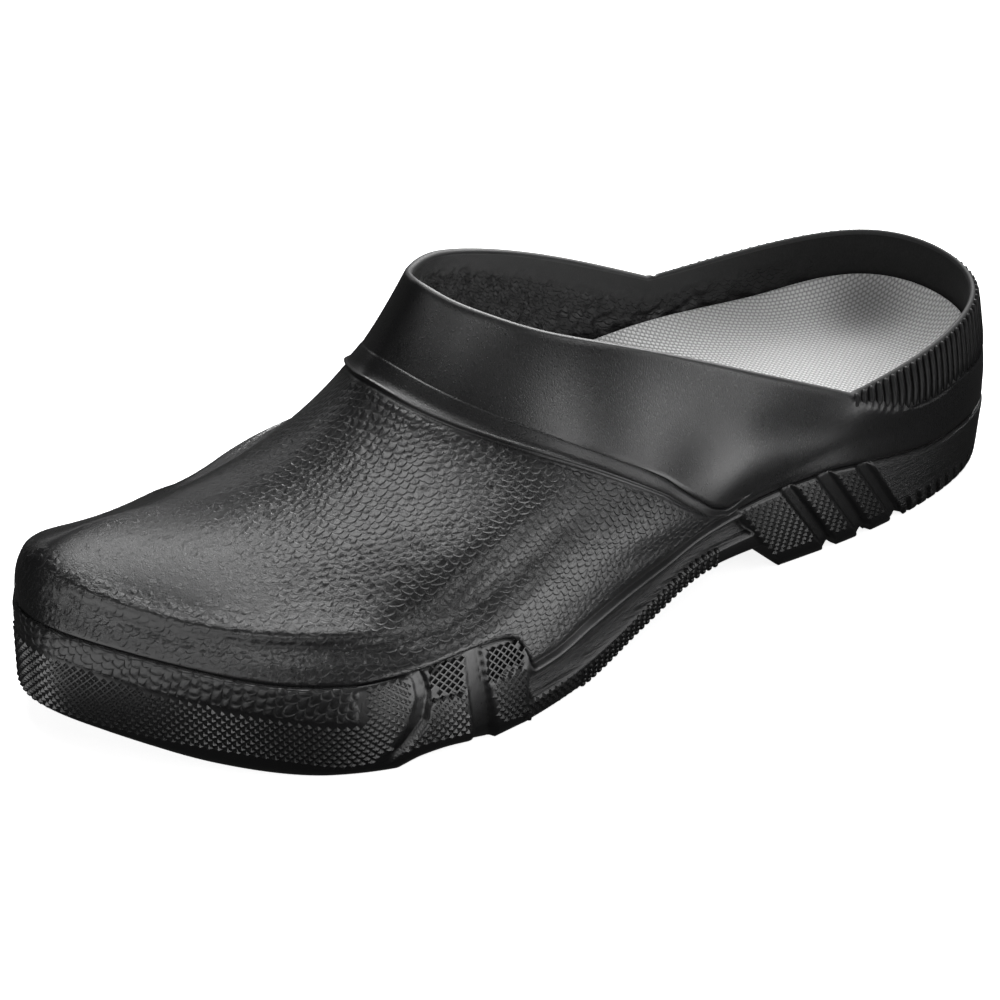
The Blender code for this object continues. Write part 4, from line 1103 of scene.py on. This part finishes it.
def insole_rings():
    """Rings of the footbed from its underside, up its edge and in over the cup."""
    u = paired_columns(INSOLE_STEP)
    plan, normal = outline(u), inward(u)
    x = plan[:, 0]
    curves = control_curves(u)[0]
    lengths = lengths_of(curves)
    gap = SEAT_WALL + GAP + 0.2
    edge_z = profile(FOOTBED, x) + profile(CUP, x)
    feather = profile(FEATHER, x)
    inside = []
    for i in range(len(u)):
        skin = spline_through(lengths[i], curves[i], np.linspace(0, lengths[i, -1], 60))
        inside.append(skin[np.argsort(skin[:, 2])])

    def wall_point(height, extra):
        ring = []
        for i in range(len(u)):
            at = plan[i] + normal[i] * gap
            if height[i] > feather[i] + 1.0:
                wall = np.array([np.interp(height[i], inside[i][:, 2], inside[i][:, k]) for k in (0, 1)])
                wall = wall + normal[i] * (WALL + GAP + 0.2)
                at = wall + normal[i] * max(0.0, np.dot(at - wall, normal[i]))
            ring.append((*(at + normal[i] * extra), height[i]))
        return np.array(ring)

    low = np.column_stack([plan + normal * gap, profile(SEAT, x) + GAP])
    waist = wall_point(np.minimum(edge_z - 1.2, np.maximum(profile(SEAT, x) + 2.0, feather + 0.5)), 0.0)
    edge = wall_point(edge_z, 0.9)
    rings = [low, waist, wall_point(edge_z - 0.8, 0.0), wall_point(edge_z - 0.3, 0.25), edge]
    for depth in CUP_INSETS:
        at = edge[:, :2] + normal * depth
        rise = profile(CUP, x) * (1 - depth / CUP_REACH) ** 2
        rings.append(np.column_stack([at, profile(FOOTBED, at[:, 0]) + rise]))
    return rings


def woven_finish():
    """Pale grey textile: raised grains of thread in staggered rows, with painted shade between them and in
    the heel cup.
    """
    material = bpy.data.materials.new("woven_textile")
    material.use_nodes = True
    tree = material.node_tree
    shader = tree.nodes["Principled BSDF"]
    body = add_node(tree, "ShaderNodeTexCoord").outputs["Object"]
    turned = add_node(tree, "ShaderNodeMapping", Vector=body, Rotation=(0, 0, math.radians(24)),
                      Scale=(1 / (WEAVE * MM),) * 3).outputs[0]
    wander = add_node(tree, "ShaderNodeTexNoise", Vector=turned, Scale=0.7, Detail=1.0).outputs["Color"]
    turned = vectors(tree, "MULTIPLY_ADD", wander, (0.16, 0.16, 0), turned)
    split = add_node(tree, "ShaderNodeSeparateXYZ", i0=turned)
    rows = maths(tree, "MULTIPLY", split.outputs[1], 1.3)
    odd = maths(tree, "MODULO", maths(tree, "FLOOR", rows), 2.0)
    grains = maths(tree, "MULTIPLY_ADD", odd, 0.5, split.outputs[0])
    a = maths(tree, "ABSOLUTE", maths(tree, "SINE", maths(tree, "MULTIPLY", grains, math.pi)))
    b = maths(tree, "ABSOLUTE", maths(tree, "SINE", maths(tree, "MULTIPLY", rows, math.pi)))
    height = maths(tree, "POWER", maths(tree, "MULTIPLY", a, b), 0.55)
    bumped = maths(tree, "MULTIPLY", height, 0.3 * MM)
    bumped = maths(tree, "MULTIPLY_ADD", noise(tree, body, 5200.0, 2.0), 0.05 * MM, bumped)
    bump = add_node(tree, "ShaderNodeBump", Strength=1.0, Distance=1.0, Height=bumped)
    tree.links.new(bump.outputs[0], shader.inputs["Normal"])
    cloud = noise(tree, body, 30.0, 3.0)
    # Base colour: painted shade between the grains of thread, lighter on the grains, over a random cloudy
    # tone.
    light = maths(tree, "MULTIPLY_ADD", height, 0.65, maths(tree, "MULTIPLY_ADD", cloud, 0.18, 0.24))
    # Painted shade in the heel cup: the base colour is greyest at its middle and fades out over its reach.
    heel = tuple((SHADED_CUP_MIDDLE - FRAME_ORIGIN) * MM)
    from_shaded_cup = add_node(tree, "ShaderNodeVectorMath", {"operation": "DISTANCE"}, i0=body, i1=heel)
    pressed = fade(tree, from_shaded_cup.outputs["Value"], 1 * MM, SHADED_CUP_REACH * MM, SHADED_CUP_DARKEST, 1.0)
    light = maths(tree, "MULTIPLY", light, pressed)
    tree.links.new(scaled(tree, PALE_GREY, light), shader.inputs["Base Color"])
    shader.inputs["Roughness"].default_value = 0.85
    shader.inputs["Sheen Weight"].default_value = 0.15
    return material


def build_insole(material):
    rings = insole_rings()
    count = len(rings[0])
    points = np.vstack(rings)
    faces = ring_faces(len(rings), count)
    under, under_faces = cross_strips(rings[0][:, :2], (20,), lambda p, inset: profile(SEAT, p[:, 0]) + GAP,
                                      len(points), 0)
    points = np.vstack([points, under])
    over, over_faces = cross_strips(rings[-1][:, :2], (8, 16), lambda p, inset: profile(FOOTBED, p[:, 0]),
                                    len(points), (len(rings) - 1) * count)
    points = np.vstack([points, over])
    return make_piece("footbed", points, faces + under_faces + over_faces, material)


footbed = build_insole(woven_finish())
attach(footbed, "root")
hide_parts("insole")


# Studio. A plain pale floor under soft lights, and the camera at the photograph's angle. The floor glows a
# little and is kept out of reflections, so that it reads as a white sweep.
CAMERA_TARGET = Vector((0.0102, -0.0065, 0.0242))
CAMERA_TURN, CAMERA_RISE, CAMERA_AWAY, CAMERA_LENS = 37.0, 30.7, 0.9128, 128.2
SHOE = (0.0, 0.0, 0.03)
# Lamp, place, what it faces, width, height, power. The cards lie on the floor and send light back up.
LIGHTS = [
    ("top_softbox", (0.06, -0.12, 1.05), SHOE, 0.34, 0.52, 3.5),
    ("far_softbox", (-0.15, -1.00, 0.42), SHOE, 0.5, 0.25, 0.4),
    ("heel_key", (-0.75, -0.46, 0.76), SHOE, 0.7, 0.7, 20.0),
    ("side_softbox", (-0.62, 0.85, 0.085), SHOE, 0.45, 0.16, 0.8),
    ("side_high", (-0.42, 0.78, 0.66), SHOE, 0.6, 0.28, 1.6),
    ("side_key", (-0.08, 0.95, 0.52), SHOE, 0.22, 0.22, 0.6),
    ("rear_side", (-0.80, 0.70, 0.30), SHOE, 0.25, 0.25, 0.5),
    ("camera_side", (0.70, 0.60, 0.50), SHOE, 0.3, 0.3, 1.1),
    ("front_key", (0.94, 0.16, 0.50), SHOE, 0.3, 0.3, 0.9),
    ("front_fill", (1.10, 0.35, 0.13), SHOE, 0.6, 0.22, 0.9),
    ("waist_card", (0.0, 0.125, 0.004), (0.0, 0.125, 1.0), 0.19, 0.11, 0.165),
    ("quarter_card", (-0.22, 0.28, 0.004), (-0.22, 0.28, 1.0), 0.2, 0.14, 0.34),
    ("toe_card", (0.26, 0.10, 0.004), (0.26, 0.10, 1.0), 0.2, 0.25, 0.2),
]


def aim(thing, place, target):
    """Puts a camera or lamp at a place, looking at the target."""
    thing.location = place
    thing.rotation_euler = (Vector(target) - Vector(place)).to_track_quat("-Z", "Y").to_euler()


def build_floor():
    size = 3.0
    corners = [(-size, -size, 0), (size, -size, 0), (size, size, 0), (-size, size, 0)]
    mesh = bpy.data.meshes.new("studio_floor")
    mesh.from_pydata(corners, [], [(0, 1, 2, 3)])
    material = bpy.data.materials.new("pale_floor")
    material.use_nodes = True
    shader = material.node_tree.nodes["Principled BSDF"]
    shader.inputs["Base Color"].default_value = (0.9, 0.9, 0.9, 1)
    shader.inputs["Roughness"].default_value = 0.9
    shader.inputs["Specular IOR Level"].default_value = 0.0
    shader.inputs["Emission Color"].default_value = (1, 1, 1, 1)
    shader.inputs["Emission Strength"].default_value = 0.84
    mesh.materials.append(material)
    floor = bpy.data.objects.new("studio_floor", mesh)
    bpy.context.scene.collection.objects.link(floor)
    return floor


floor = build_floor()
floor.visible_glossy = False
floor.visible_diffuse = False
floor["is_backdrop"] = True
for name, place, faces, wide, high, power in LIGHTS:
    lamp = bpy.data.lights.new(name, "AREA")
    lamp.shape, lamp.size, lamp.size_y, lamp.energy = "RECTANGLE", wide, high, power
    light = bpy.data.objects.new(name, lamp)
    light.visible_camera = False
    bpy.context.scene.collection.objects.link(light)
    aim(light, place, faces)
world = bpy.data.worlds.new("studio_world")
world.use_nodes = True
backdrop = world.node_tree.nodes["Background"]
seen = add_node(world.node_tree, "ShaderNodeLightPath").outputs["Is Camera Ray"]
strength = maths(world.node_tree, "MULTIPLY_ADD", seen, 0.97, 0.03)
world.node_tree.links.new(strength, backdrop.inputs["Strength"])
backdrop.inputs["Color"].default_value = (1, 1, 1, 1)
bpy.context.scene.world = world
bpy.context.scene.view_settings.view_transform = "Standard"
lens = bpy.data.cameras.new("photo_camera")
lens.lens, lens.sensor_width = CAMERA_LENS, 36.0
lens.clip_start, lens.clip_end = 0.01, 50.0
camera = bpy.data.objects.new("photo_camera", lens)
bpy.context.scene.collection.objects.link(camera)
turn, rise = math.radians(CAMERA_TURN), math.radians(CAMERA_RISE)
back = Vector((math.sin(turn) * math.cos(rise), math.cos(turn) * math.cos(rise), math.sin(rise)))
aim(camera, CAMERA_TARGET + back * CAMERA_AWAY, CAMERA_TARGET)
bpy.context.scene.camera = camera

low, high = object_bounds()
